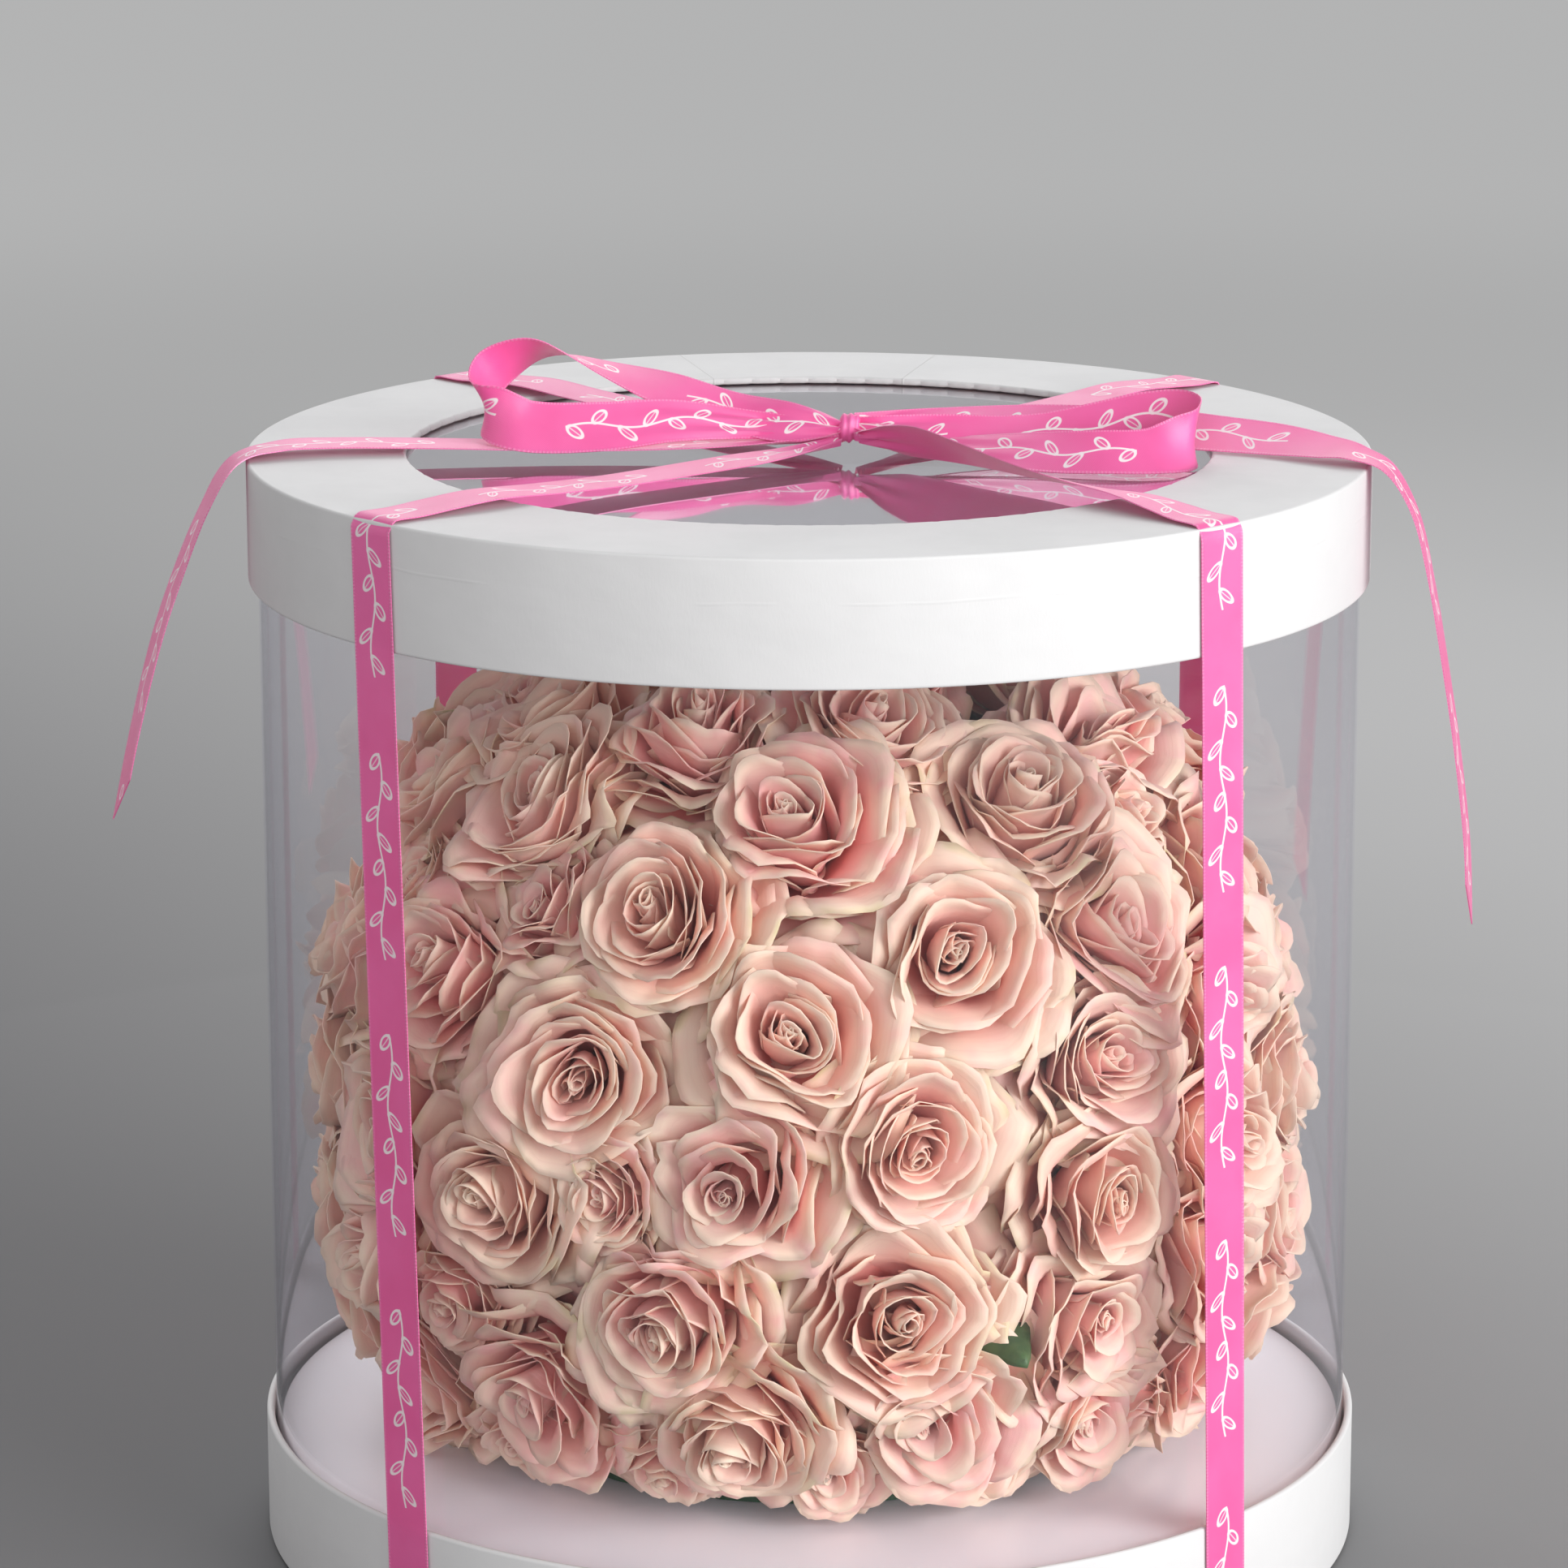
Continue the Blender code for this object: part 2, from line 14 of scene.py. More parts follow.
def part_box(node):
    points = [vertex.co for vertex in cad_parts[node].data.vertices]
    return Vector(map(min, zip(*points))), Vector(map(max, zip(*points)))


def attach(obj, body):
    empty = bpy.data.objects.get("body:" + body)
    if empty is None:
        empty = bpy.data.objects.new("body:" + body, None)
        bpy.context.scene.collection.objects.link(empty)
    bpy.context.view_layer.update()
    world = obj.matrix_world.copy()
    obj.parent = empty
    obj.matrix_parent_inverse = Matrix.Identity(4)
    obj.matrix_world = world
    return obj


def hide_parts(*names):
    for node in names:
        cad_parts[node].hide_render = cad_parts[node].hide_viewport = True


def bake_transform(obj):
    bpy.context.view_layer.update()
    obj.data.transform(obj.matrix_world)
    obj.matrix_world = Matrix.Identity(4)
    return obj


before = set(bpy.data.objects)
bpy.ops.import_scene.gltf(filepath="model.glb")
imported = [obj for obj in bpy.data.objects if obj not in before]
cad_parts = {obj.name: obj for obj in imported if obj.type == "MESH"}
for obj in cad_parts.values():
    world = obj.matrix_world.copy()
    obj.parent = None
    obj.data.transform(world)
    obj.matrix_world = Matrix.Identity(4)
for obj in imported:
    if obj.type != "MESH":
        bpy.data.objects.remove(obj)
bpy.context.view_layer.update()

MM = 0.001

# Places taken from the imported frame
BOX_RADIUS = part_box("base_wall")[1].x
SKIRT_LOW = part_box("lid_skirt")[0]
LID_LOW, LID_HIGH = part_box("lid_top")
BALL_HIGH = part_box("roses_crown")[1].z
KNOT_LOW, KNOT_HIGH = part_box("bow_knot")
UNDER_RIBBON_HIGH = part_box("ribbon_under_cross")[1].z

BOARD = 2 * MM
SLEEVE_WALL = 0.5 * MM
LID_HOLE_RADIUS = 107.5 * MM

# How far edges are rounded
WRAPPED_FILLET = 0.9 * MM
PLATFORM_FILLET = 0.6 * MM
BARE_FILLET = 0.4 * MM
FILM_FILLET = 0.1 * MM


# ---------------------------------------------------------------- meshes


def add_object(name, data):
    """A new object in the scene."""
    obj = bpy.data.objects.new(name, data)
    bpy.context.scene.collection.objects.link(obj)
    return obj


def new_mesh(name, verts, faces, looks):
    """A smooth mesh with its materials."""
    mesh = bpy.data.meshes.new(name)
    mesh.from_pydata(np.array(verts).tolist(), [], faces)
    mesh.shade_smooth()
    for look in looks:
        mesh.materials.append(look)
    return mesh


def new_piece(name, verts, faces, looks, body, nodes, sharp=35):
    """A mesh piece that stands for CAD nodes and, if given a body, rides on it."""
    mesh = new_mesh(name, verts, faces, looks)
    mesh.set_sharp_from_angle(angle=radians(sharp))
    obj = add_object(name, mesh)
    if body:
        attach(obj, body)
    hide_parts(*nodes)
    return obj


def paint_uv(mesh, name, spots):
    """Give every vertex its place on a flat map."""
    corner = np.zeros(len(mesh.loops), int)
    mesh.loops.foreach_get("vertex_index", corner)
    mesh.uv_layers.new(name=name).data.foreach_set("uv", spots[corner].ravel())


def rounded(points, radius, steps=3):
    """A closed (radius, height) outline with its corners rounded by quadratic curves."""
    out = []
    count = len(points)
    for index, point in enumerate(points):
        here = np.array(point)
        before = np.array(points[index - 1])
        after = np.array(points[(index + 1) % count])
        if point[0] == 0:
            out.append(point)
            continue
        reach_in = min(radius, np.linalg.norm(before - here) / 2.2)
        reach_out = min(radius, np.linalg.norm(after - here) / 2.2)
        start = here + (before - here) / np.linalg.norm(before - here) * reach_in
        end = here + (after - here) / np.linalg.norm(after - here) * reach_out
        for step in range(steps + 1):
            t = step / steps
            out.append(tuple((1 - t) ** 2 * start + 2 * t * (1 - t) * here + t * t * end))
    return out


def turned(name, outline, look, body, nodes, segments=256, shape=None):
    """A solid of revolution; shape(azimuth, radius, height) may nudge each ring point."""
    verts = []
    rings = []
    for radius, height in outline:
        if radius == 0:
            rings.append([len(verts)] * segments)
            verts.append((0, 0, height))
            continue
        rings.append([len(verts) + step for step in range(segments)])
        for step in range(segments):
            azimuth = 2 * pi * step / segments
            r, z = shape(azimuth, radius, height) if shape else (radius, height)
            verts.append((r * sin(azimuth), -r * cos(azimuth), z))
    faces = []
    for this, after in zip(rings, rings[1:] + rings[:1]):
        for step in range(segments):
            nxt = (step + 1) % segments
            corners = list(dict.fromkeys([this[step], this[nxt], after[nxt], after[step]]))
            if len(corners) > 2:
                faces.append(corners)
    new_piece(name, verts, faces, [look], body, nodes)


def unit(vectors):
    """Vectors scaled to length 1."""
    return vectors / np.linalg.norm(vectors, axis=-1, keepdims=True)


def sheet_normals(surface):
    """Unit normals of a grid surface; those of a petal point away from the rose's axis."""
    along = np.gradient(surface, axis=0)
    side = np.gradient(surface, axis=1)
    return unit(np.cross(side, along) + 1e-12)


def closed_shell(front, back):
    """Vertices and faces of a thin solid between two grids: pairs of faces, then the rim."""
    rows, lanes = front.shape[:2]
    verts = np.concatenate([front.reshape(-1, 3), back.reshape(-1, 3)])
    offset = rows * lanes
    faces = []
    for i in range(rows - 1):
        for j in range(lanes - 1):
            a, b = i * lanes + j, i * lanes + j + 1
            c, d = b + lanes, a + lanes
            faces.append((a, b, c, d))
            faces.append((offset + a, offset + d, offset + c, offset + b))
    rim = list(range(lanes))
    rim += [i * lanes + lanes - 1 for i in range(1, rows)]
    rim += [(rows - 1) * lanes + j for j in range(lanes - 2, -1, -1)]
    rim += [i * lanes for i in range(rows - 2, 0, -1)]
    for this, nxt in zip(rim, rim[1:] + rim[:1]):
        faces.append((nxt, this, offset + this, offset + nxt))
    return verts, faces


def closed_sheet(surface, thickness):
    """A thin solid with a grid surface at its middle."""
    half = sheet_normals(surface) * thickness / 2
    return closed_shell(surface + half, surface - half)


# ---------------------------------------------------------------- node graphs


class Graph:
    """A material's nodes, made by short calls that return output sockets."""

    def __init__(self, name):
        self.material = bpy.data.materials.new(name)
        self.material.use_nodes = True
        self.tree = self.material.node_tree
        self.tree.nodes.clear()

    def put(self, socket, value):
        if isinstance(value, bpy.types.NodeSocket):
            self.tree.links.new(value, socket)
        elif hasattr(socket.default_value, "__len__") and len(socket.default_value) == 4:
            socket.default_value = (*value, 1)[:4]
        else:
            socket.default_value = value

    def add(self, kind, inputs=None, out=0, **settings):
        node = self.tree.nodes.new("ShaderNode" + kind)
        for key, value in settings.items():
            setattr(node, key, value)
        for key, value in (inputs or {}).items():
            self.put(node.inputs[key], value)
        return node.outputs[out]

    def math(self, operation, a, b=0.0, c=0.0, clamp=False):
        return self.add("Math", {0: a, 1: b, 2: c}, operation=operation, use_clamp=clamp)

    def times(self, a, b):
        return self.math("MULTIPLY", a, b)

    def minus(self, a, b):
        return self.math("SUBTRACT", a, b)

    def size_of(self, value):
        return self.math("ABSOLUTE", value)

    def wave(self, value, period):
        return self.math("SINE", self.times(value, 2 * pi / period))

    def mix(self, factor, a, b):
        return self.add("Mix", {0: factor, 6: a, 7: b}, out=2, data_type="RGBA")

    def between(self, value, low, high, to_low=0.0, to_high=1.0):
        """A smooth step of value from low to high."""
        return self.add(
            "MapRange",
            {"Value": value, 1: low, 2: high, 3: to_low, 4: to_high},
            interpolation_type="SMOOTHSTEP",
        )

    def line(self, offset, solid, gone):
        """1 where offset is within solid of zero, fading to 0 at gone."""
        return self.between(self.size_of(offset), solid, gone, 1.0, 0.0)

    def split(self, value, kind="SeparateXYZ"):
        """The three parts of a vector or a colour."""
        node = self.tree.nodes.new("ShaderNode" + kind)
        self.tree.links.new(value, node.inputs[0])
        return node.outputs[0], node.outputs[1], node.outputs[2]

    def attribute(self, name, kind="GEOMETRY"):
        node = self.tree.nodes.new("ShaderNodeAttribute")
        node.attribute_type = kind
        node.attribute_name = name
        return node.outputs

    def place(self, scale=(1, 1, 1)):
        coords = self.add("TexCoord", out=3)
        return self.add("Mapping", {0: coords, 3: scale})

    def noise(self, vector, scale, detail=3.0, roughness=0.5):
        return self.add(
            "TexNoise", {"Vector": vector, "Scale": scale, "Detail": detail, "Roughness": roughness}
        )

    def bump(self, height, distance, strength=1.0, normal=None):
        inputs = {"Height": height, "Distance": distance, "Strength": strength}
        if normal is not None:
            inputs["Normal"] = normal
        return self.add("Bump", inputs)

    def principled(self, **inputs):
        named = {key.replace("_", " "): value for key, value in inputs.items()}
        return self.add("BsdfPrincipled", named)

    def finish(self, shader):
        output = self.tree.nodes.new("ShaderNodeOutputMaterial")
        self.tree.links.new(shader, output.inputs["Surface"])
        return self.material


# The paper's lap seam, in turns from the front, and the crease below the lid's top edge
SEAM_PLACE = 0.46
SEAM_FADE = 0.0006
CREASE_DROP = 9.5 * MM
CREASE_FADE = 0.6 * MM


def wrapped_paper():
    """White paper glued over cardboard: soft mottling, fibres, glue ripples and a lap seam."""
    g = Graph("paper_wrap")
    colour = (0.62, 0.62, 0.63)
    shaded = [channel * 0.965 for channel in colour]
    here = g.place()
    x, y, height = g.split(here)
    turn = g.math("DIVIDE", g.math("ARCTAN2", x, g.times(y, -1.0)), 2 * pi)
    mottle = g.noise(here, 30, 4, 0.6)
    fibre = g.noise(g.place((1, 1, 0.35)), 1400, 3, 0.65)
    shade = g.mix(g.between(mottle, 0.35, 0.7), colour, shaded)
    shade = g.mix(g.times(g.between(fibre, 0.55, 0.8), 0.05), shade, (0.62, 0.60, 0.60))
    seam = g.line(g.minus(g.size_of(turn), SEAM_PLACE), 0.0, SEAM_FADE)
    shade = g.mix(g.times(seam, 0.25), shade, (0.5, 0.49, 0.5))
    ripple = g.noise(g.place((1, 1, 2.2)), 38, 2, 0.5)
    wander = g.times(g.noise(here, 22, 2), 4 * MM)
    crease_place = g.math("ADD", height, wander)
    crease = g.line(g.minus(crease_place, LID_HIGH.z - CREASE_DROP), 0.0, CREASE_FADE)
    crease = g.times(crease, g.between(g.noise(here, 60, 1), 0.42, 0.6))
    normal = g.bump(ripple, 0.0008, 0.35)
    normal = g.bump(crease, 0.0002, 0.25, normal)
    normal = g.bump(seam, 0.0002, 0.6, normal)
    normal = g.bump(fibre, 0.00006, 0.5, normal)
    rough = g.between(mottle, 0.3, 0.7, 0.48, 0.60)
    return g.finish(
        g.principled(Base_Color=shade, Roughness=rough, Specular_IOR_Level=0.35, Normal=normal)
    )


def clear_film(name, tint, least, reflect, falloff, haze_top, streak):
    """Thin clear plastic: tinted when seen through, mirror-like at a grazing angle.

    least and reflect set how much it mirrors face on and at a grazing angle, falloff how late
    that rises, haze_top its densest dust, and streak stretches its ripples along the height.
    """
    g = Graph(name)
    here = g.place((1, 1, streak))
    ripple = g.noise(here, 18, 2, 0.5)
    normal = g.bump(ripple, 0.0006, 0.10)
    facing = g.add("LayerWeight", {"Blend": 0.5}, out=1)
    curve = g.math("POWER", facing, falloff)
    amount = g.math("ADD", g.times(curve, reflect), least, clamp=True)
    through = g.add("BsdfTransparent", {"Color": tint})
    dust = g.add("BsdfDiffuse", {"Color": (0.8, 0.8, 0.86)})
    haze = g.between(g.noise(here, 9, 3), 0.4, 0.8, 0.2 * haze_top, haze_top)
    body = g.add("MixShader", {0: haze, 1: through, 2: dust})
    mirror = g.add("BsdfGlossy", {"Color": (0.97, 0.97, 1.0), "Roughness": 0.03, "Normal": normal})
    return g.finish(g.add("MixShader", {0: amount, 1: body, 2: mirror}))


def mottled(name, one_shade, other_shade, cloud_scale, grain, grain_depth, strength, roughness):
    """A surface in two soft shades with a fine grain, given as (scale, detail, roughness)."""
    g = Graph(name)
    here = g.place()
    cloud = g.between(g.noise(here, cloud_scale), 0.3, 0.7)
    shade = g.mix(cloud, one_shade, other_shade)
    normal = g.bump(g.noise(here, *grain), grain_depth, strength)
    return g.finish(g.principled(Base_Color=shade, Roughness=roughness, Normal=normal))


def platform_board():
    """Smooth white card."""
    white, shaded = (0.92, 0.92, 0.98), (0.89, 0.89, 0.95)
    return mottled("platform_board", white, shaded, 14, (420, 3, 0.6), 0.1 * MM, 0.4, 0.32)


def tray_plastic():
    """Dark green moulded plastic."""
    dark, light = (0.02, 0.07, 0.03), (0.03, 0.10, 0.045)
    return mottled("tray_plastic", dark, light, 20, (900, 2, 0.5), 0.06 * MM, 0.5, 0.38)


def leaf_green():
    """Dull green of a rose leaf."""
    dark, light = (0.03, 0.08, 0.03), (0.07, 0.14, 0.05)
    return mottled("leaf_green", dark, light, 120, (900, 2, 0.5), 0.2 * MM, 0.5, 0.5)


def wet_foam():
    """Dark green floral foam with open cells."""
    g = Graph("wet_foam")
    here = g.place()
    cells = g.add("TexVoronoi", {"Vector": here, "Scale": 420.0})
    shade = g.mix(g.between(cells, 0.1, 0.6), (0.020, 0.060, 0.025), (0.05, 0.15, 0.06))
    normal = g.bump(cells, 0.0008, 0.9)
    return g.finish(g.principled(Base_Color=shade, Roughness=0.9, Normal=normal))


# ---------------------------------------------------------------- ribbon material

RIBBON_WIDTH_MM = 15.0

# The printed sprig, in mm along and across the ribbon
PRINT_PERIOD_MM = 73.5
PRINT_LENGTH_MM = 55.0
SPRIG_STEP_MM = PRINT_LENGTH_MM / 8
STEM_SWING_MM = 1.2
LEAF_OFFSET_MM = 2.1
LEAF_HALF_LENGTH_MM = 2.6
LEAF_HALF_WIDTH_MM = 1.25
LEAF_LEAN = radians(48)


def sprig_print(g, along, across):
    """White line drawing of a leafy stem, repeated along the ribbon; inputs in mm."""
    x = g.math("FLOORED_MODULO", along, PRINT_PERIOD_MM)
    inside = g.times(g.math("GREATER_THAN", x, 1.0), g.math("LESS_THAN", x, PRINT_LENGTH_MM))
    stem_y = g.times(g.wave(x, SPRIG_STEP_MM * 4), STEM_SWING_MM)
    from_stem = g.minus(g.minus(across, RIBBON_WIDTH_MM / 2), stem_y)
    stem = g.line(from_stem, 0.22, 0.42)
    # Leaves stand on alternate sides of the stem, one to a step
    step = g.math("FLOOR", g.math("DIVIDE", x, SPRIG_STEP_MM))
    side = g.minus(g.times(g.math("FLOORED_MODULO", step, 2.0), 2.0), 1.0)
    leaf_x = g.minus(g.math("FLOORED_MODULO", x, SPRIG_STEP_MM), SPRIG_STEP_MM / 2)
    leaf_y = g.minus(g.times(from_stem, side), LEAF_OFFSET_MM)
    c, s = cos(LEAF_LEAN), sin(LEAF_LEAN)
    turned_x = g.math("ADD", g.times(leaf_x, c), g.times(leaf_y, s))
    turned_y = g.minus(g.times(leaf_y, c), g.times(leaf_x, s))
    long_part = g.math("POWER", g.math("DIVIDE", turned_x, LEAF_HALF_LENGTH_MM), 2.0)
    wide_part = g.math("POWER", g.math("DIVIDE", turned_y, LEAF_HALF_WIDTH_MM), 2.0)
    egg = g.math("SQRT", g.math("ADD", long_part, wide_part))
    leaf = g.line(g.minus(egg, 1.0), 0.14, 0.28)
    vein = g.times(g.line(turned_y, 0.1, 0.22), g.math("LESS_THAN", egg, 1.0))
    ink = g.math("MAXIMUM", g.math("MAXIMUM", stem, leaf), g.times(vein, 0.7))
    return g.times(ink, inside)


# Thread spacings of the satin, in mm
WEFT_MM = 0.55
WARP_MM = 0.4
EDGE_STITCH_MM = 0.9


def satin(name, printed):
    """Pink woven satin with a stitched edge; one face carries the white sprig print."""
    g = Graph(name)
    along, across = g.split(g.add("UVMap", uv_map="ribbon"))[:2]
    weave = g.times(g.wave(along, WEFT_MM), g.wave(across, WARP_MM))
    cloud = g.noise(g.place(), 45, 3)
    pink = (0.91, 0.15, 0.45)
    deep = (0.87, 0.11, 0.385)
    shade = g.mix(g.between(cloud, 0.3, 0.72), pink, deep)
    from_edge = g.math("MINIMUM", across, g.minus(RIBBON_WIDTH_MM, across))
    selvedge = g.between(from_edge, 0.35, 0.8, 1.0, 0.0)
    stitch = g.between(g.wave(along, EDGE_STITCH_MM), -0.3, 0.5)
    edge = g.times(selvedge, g.math("MULTIPLY_ADD", stitch, 0.7, 0.3))
    shade = g.mix(g.times(edge, 0.45), shade, (0.95, 0.42, 0.68))
    rough = g.between(cloud, 0.3, 0.7, 0.29, 0.38)
    if printed:
        ink = sprig_print(g, along, across)
        shade = g.mix(ink, shade, (0.93, 0.90, 0.92))
        rough = g.math("MULTIPLY_ADD", ink, 0.2, rough)
    normal = g.bump(g.noise(g.place(), 32, 1), 0.003, 0.35)
    normal = g.bump(weave, 0.00005, 0.5, normal)
    normal = g.bump(edge, 0.00015, 0.8, normal)
    tangent = g.add("Tangent", direction_type="UV_MAP", uv_map="ribbon")
    cloth = g.principled(
        Base_Color=shade,
        Roughness=rough,
        Specular_IOR_Level=1.0,
        Anisotropic=0.65,
        Tangent=tangent,
        Sheen_Weight=0.5,
        Sheen_Roughness=0.35,
        Sheen_Tint=(1.0, 0.78, 0.86),
        Normal=normal,
    )
    glow = g.add("BsdfTranslucent", {"Color": g.mix(0.4, shade, (1.0, 0.35, 0.70))})
    return g.finish(g.add("MixShader", {0: 0.2, 1: cloth, 2: glow}))


# ---------------------------------------------------------------- rose material


def rose_petal():
    """Blush petals: coral towards the base, painted there as the shade of the bloom's crevices; cream
    and a little green at the ruffled edge.
    """
    g = Graph("rose_petal")
    tone = g.attribute("petal")
    edge, along, layer = g.split(tone["Color"], "SeparateColor")
    chance = tone["Alpha"]
    bloom = g.attribute("bloom_tone", "OBJECT")["Fac"]
    veins_uv = g.add("UVMap", uv_map="petal")
    stretched = g.add("Mapping", {0: veins_uv, 3: (26.0, 2.2, 1.0)})
    veins = g.noise(stretched, 1.0, 4, 0.6)
    patch = g.noise(g.place(), 70, 3, 0.55)
    blush = g.mix(g.between(bloom, 0.0, 0.5), (0.98, 0.53, 0.52), (0.98, 0.63, 0.60))
    blush = g.mix(g.between(bloom, 0.5, 1.0), blush, (0.98, 0.66, 0.56))
    blush = g.mix(g.times(chance, 0.5), blush, (0.98, 0.76, 0.66))
    # Painted shade: the deeper, redder coral at each petal's foot stands for the shade in the
    # crevices deep inside the bloom.
    crevice_shade_coral = g.mix(chance, (0.96, 0.27, 0.25), (0.97, 0.38, 0.33))
    shade = g.mix(g.between(along, 0.15, 0.75), crevice_shade_coral, blush)
    # The cream rim reaches further in on the outer petals, where its tip also turns green
    rim_start = g.minus(0.82, g.times(layer, 0.26))
    rim = g.times(g.between(edge, rim_start, 0.98), g.between(patch, 0.28, 0.55))
    shade = g.mix(g.times(rim, 0.9), shade, (0.96, 0.84, 0.66))
    green = g.times(g.between(edge, 0.88, 1.0), g.between(layer, 0.45, 1.0))
    green = g.times(green, g.between(patch, 0.5, 0.7))
    shade = g.mix(g.times(green, 0.75), shade, (0.74, 0.70, 0.36))
    shade = g.mix(g.times(g.between(veins, 0.45, 0.75), 0.18), shade, (0.78, 0.36, 0.36))
    normal = g.bump(veins, 0.0004, 0.35)
    flesh = g.principled(
        Base_Color=shade,
        Roughness=0.55,
        Specular_IOR_Level=0.3,
        Sheen_Weight=0.25,
        Sheen_Roughness=0.5,
        Sheen_Tint=(1.0, 0.9, 0.88),
        Normal=normal,
    )
    warm = g.mix(0.5, shade, (1.0, 0.46, 0.40))
    glow = g.add("BsdfTranslucent", {"Color": warm, "Normal": normal})
    return g.finish(g.add("MixShader", {0: 0.22, 1: flesh, 2: glow}))


# ---------------------------------------------------------------- box


def fill_box(name, node, fillet, look, body, inner=None, corner_steps=3, segments=256):
    """A round board or film as large as a CAD node's box; a wall if given an inner radius."""
    low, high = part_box(node)
    outline = [(inner or 0, low.z), (high.x, low.z), (high.x, high.z), (inner or 0, high.z)]
    turned(name, rounded(outline, fillet, corner_steps), look, body, [node], segments)


def build_box(paper, window, sleeve, platform):
    """Base, sleeve and lid."""
    rim_inner = BOX_RADIUS - BOARD
    collar_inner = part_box("platform_collar")[1].x - BOARD
    sleeve_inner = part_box("clear_sleeve")[1].x - SLEEVE_WALL
    ring_inner = LID_HOLE_RADIUS + BOARD
    fill_box("base_wall_wrapped", "base_wall", WRAPPED_FILLET, paper, "base", rim_inner)
    fill_box("base_floor_board", "base_floor", BARE_FILLET, paper, "base", segments=192)
    fill_box(
        "platform_collar_hoop", "platform_collar", BARE_FILLET, paper, "base",
        collar_inner, segments=192,
    )
    fill_box("platform_board", "platform", PLATFORM_FILLET, platform, "base")
    fill_box(
        "clear_sleeve_tube", "clear_sleeve", FILM_FILLET, sleeve, "sleeve",
        sleeve_inner, corner_steps=1,
    )
    build_lid_shell(paper)
    fill_box("lid_window_film", "lid_window", FILM_FILLET, window, "lid", corner_steps=1)
    fill_box(
        "window_backing_board", "window_backing_ring", BARE_FILLET, paper, "lid",
        ring_inner,
    )


def build_lid_shell(paper):
    """Lid ring and skirt under one paper wrap; the hole's edge is wrapped with short tabs."""
    tabs = 84
    steps_per_tab = 6
    notch_depth = 0.45 * MM
    notch_share = 1 / 7.2
    skirt_inner = BOX_RADIUS - 1.8 * MM
    corners = [
        (LID_HOLE_RADIUS, LID_LOW.z),
        (skirt_inner, LID_LOW.z),
        (skirt_inner, SKIRT_LOW.z),
        (BOX_RADIUS, SKIRT_LOW.z),
        (BOX_RADIUS, LID_HIGH.z),
        (LID_HOLE_RADIUS, LID_HIGH.z),
    ]

    def tabbed(azimuth, radius, height):
        if radius > LID_HOLE_RADIUS + 1.0 * MM:
            return radius, height
        place = (azimuth / (2 * pi) * tabs) % 1.0
        notch = max(0.0, 1 - min(place, 1 - place) / notch_share)
        return radius + notch * notch_depth, height

    turned(
        "lid_shell_wrapped", rounded(corners, WRAPPED_FILLET, 5), paper, "lid",
        ["lid_top", "lid_skirt"], segments=tabs * steps_per_tab, shape=tabbed,
    )


# ---------------------------------------------------------------- ribbon

RIBBON_THICKNESS = 0.3 * MM
RIBBON_GAP = 0.3 * MM
RIBBON_WIDTH = RIBBON_WIDTH_MM * MM
ACROSS_STEPS = 12
STEP_ALONG = 1.5 * MM
PLEATS = 2.5
PLEAT_DEPTH = 1.4 * MM
TAIL_TIP = 14 * MM

# An arm of the ribbon: bend radius over the lid's edge, height over the lid, its slight arch
EDGE_BEND = 3.2 * MM
LYING_HEIGHT = 0.7 * MM
ARCH = 1.6 * MM

# Stations: x, y, z of the middle line in mm, azimuth (from +X) and elevation in degrees of the
# direction across the ribbon, and the gathered width in mm
LOOP_LEFT = (
    (8.4, -4.8, 306.0, 85, 62, 4), (3, -4.6, 306.4, 82, 60, 8),
    (-6, -3.0, 307.0, 80, 50, 12.5), (-20, 1.9, 309.0, 82, 36, 14),
    (-37, 5.4, 314.1, 82, 28, 15), (-53, 8.9, 319.0, 82, 6, 15),
    (-67, 10, 323.6, 85, -16, 15), (-77, 8, 323.2, 78, -42, 15),
    (-85.5, 4, 318.6, 50, -62, 15), (-86.5, -4, 312.2, -30, -66, 15),
    (-79, -9.5, 308.3, -75, -60, 15), (-70, -10, 306.8, -90, -54, 15),
    (-54, -8.5, 306.9, -90, -52, 14.5), (-36, -5.0, 307.8, -90, -50, 12.5),
    (-16, -3.0, 306.4, -90, -52, 8), (8.4, -2.2, 304.4, -90, -60, 4),
)
LOOP_RIGHT = (
    (12.6, -4.2, 306.2, 90, 50, 4), (22, -7.5, 305.6, 90, 44, 9),
    (38, -10.0, 305.0, 90, 37, 14), (52, -10.5, 304.8, 88, 33, 15),
    (64, -9.5, 305.4, 86, 34, 15), (77, -8, 307.2, 88, 42, 15),
    (89, -8, 309.0, 90, 56, 15), (98, -10.5, 309.5, 86, 70, 15),
    (102, -15.5, 308.0, 76, 74, 15), (100, -22.5, 305.4, 66, 54, 15),
    (91, -28.5, 303.9, 80, 40, 15), (77, -29.5, 303.8, 88, 38, 15),
    (60, -24.5, 303.0, 92, 32, 14.5), (38, -14.5, 302.6, 92, 20, 11),
    (12.6, -5.4, 303.6, 92, 0, 4),
)
TAIL_LEFT = (
    (8.4, -3.0, 303.0, 90, 0, 4), (-6, -3.5, 302.3, 90, 0, 9),
    (-28, -5, 301.6, 90, 0, 14), (-62, -6, 301.2, 90, 0, 15),
    (-96, -6, 301.8, 90, 0, 15), (-126, -8, 302.4, 90, 0, 15),
    (-141, -12, 302.2, 95, 0, 15), (-152.5, -18.5, 299.0, 104, -4, 15),
    (-160, -23, 287, 105, -7, 15), (-167, -26, 270, 107, -8, 15),
    (-173, -29, 252, 107, -9, 15), (-179, -31, 228, 106, -10, 15),
    (-184, -33, 204, 106, -12, 15),
)
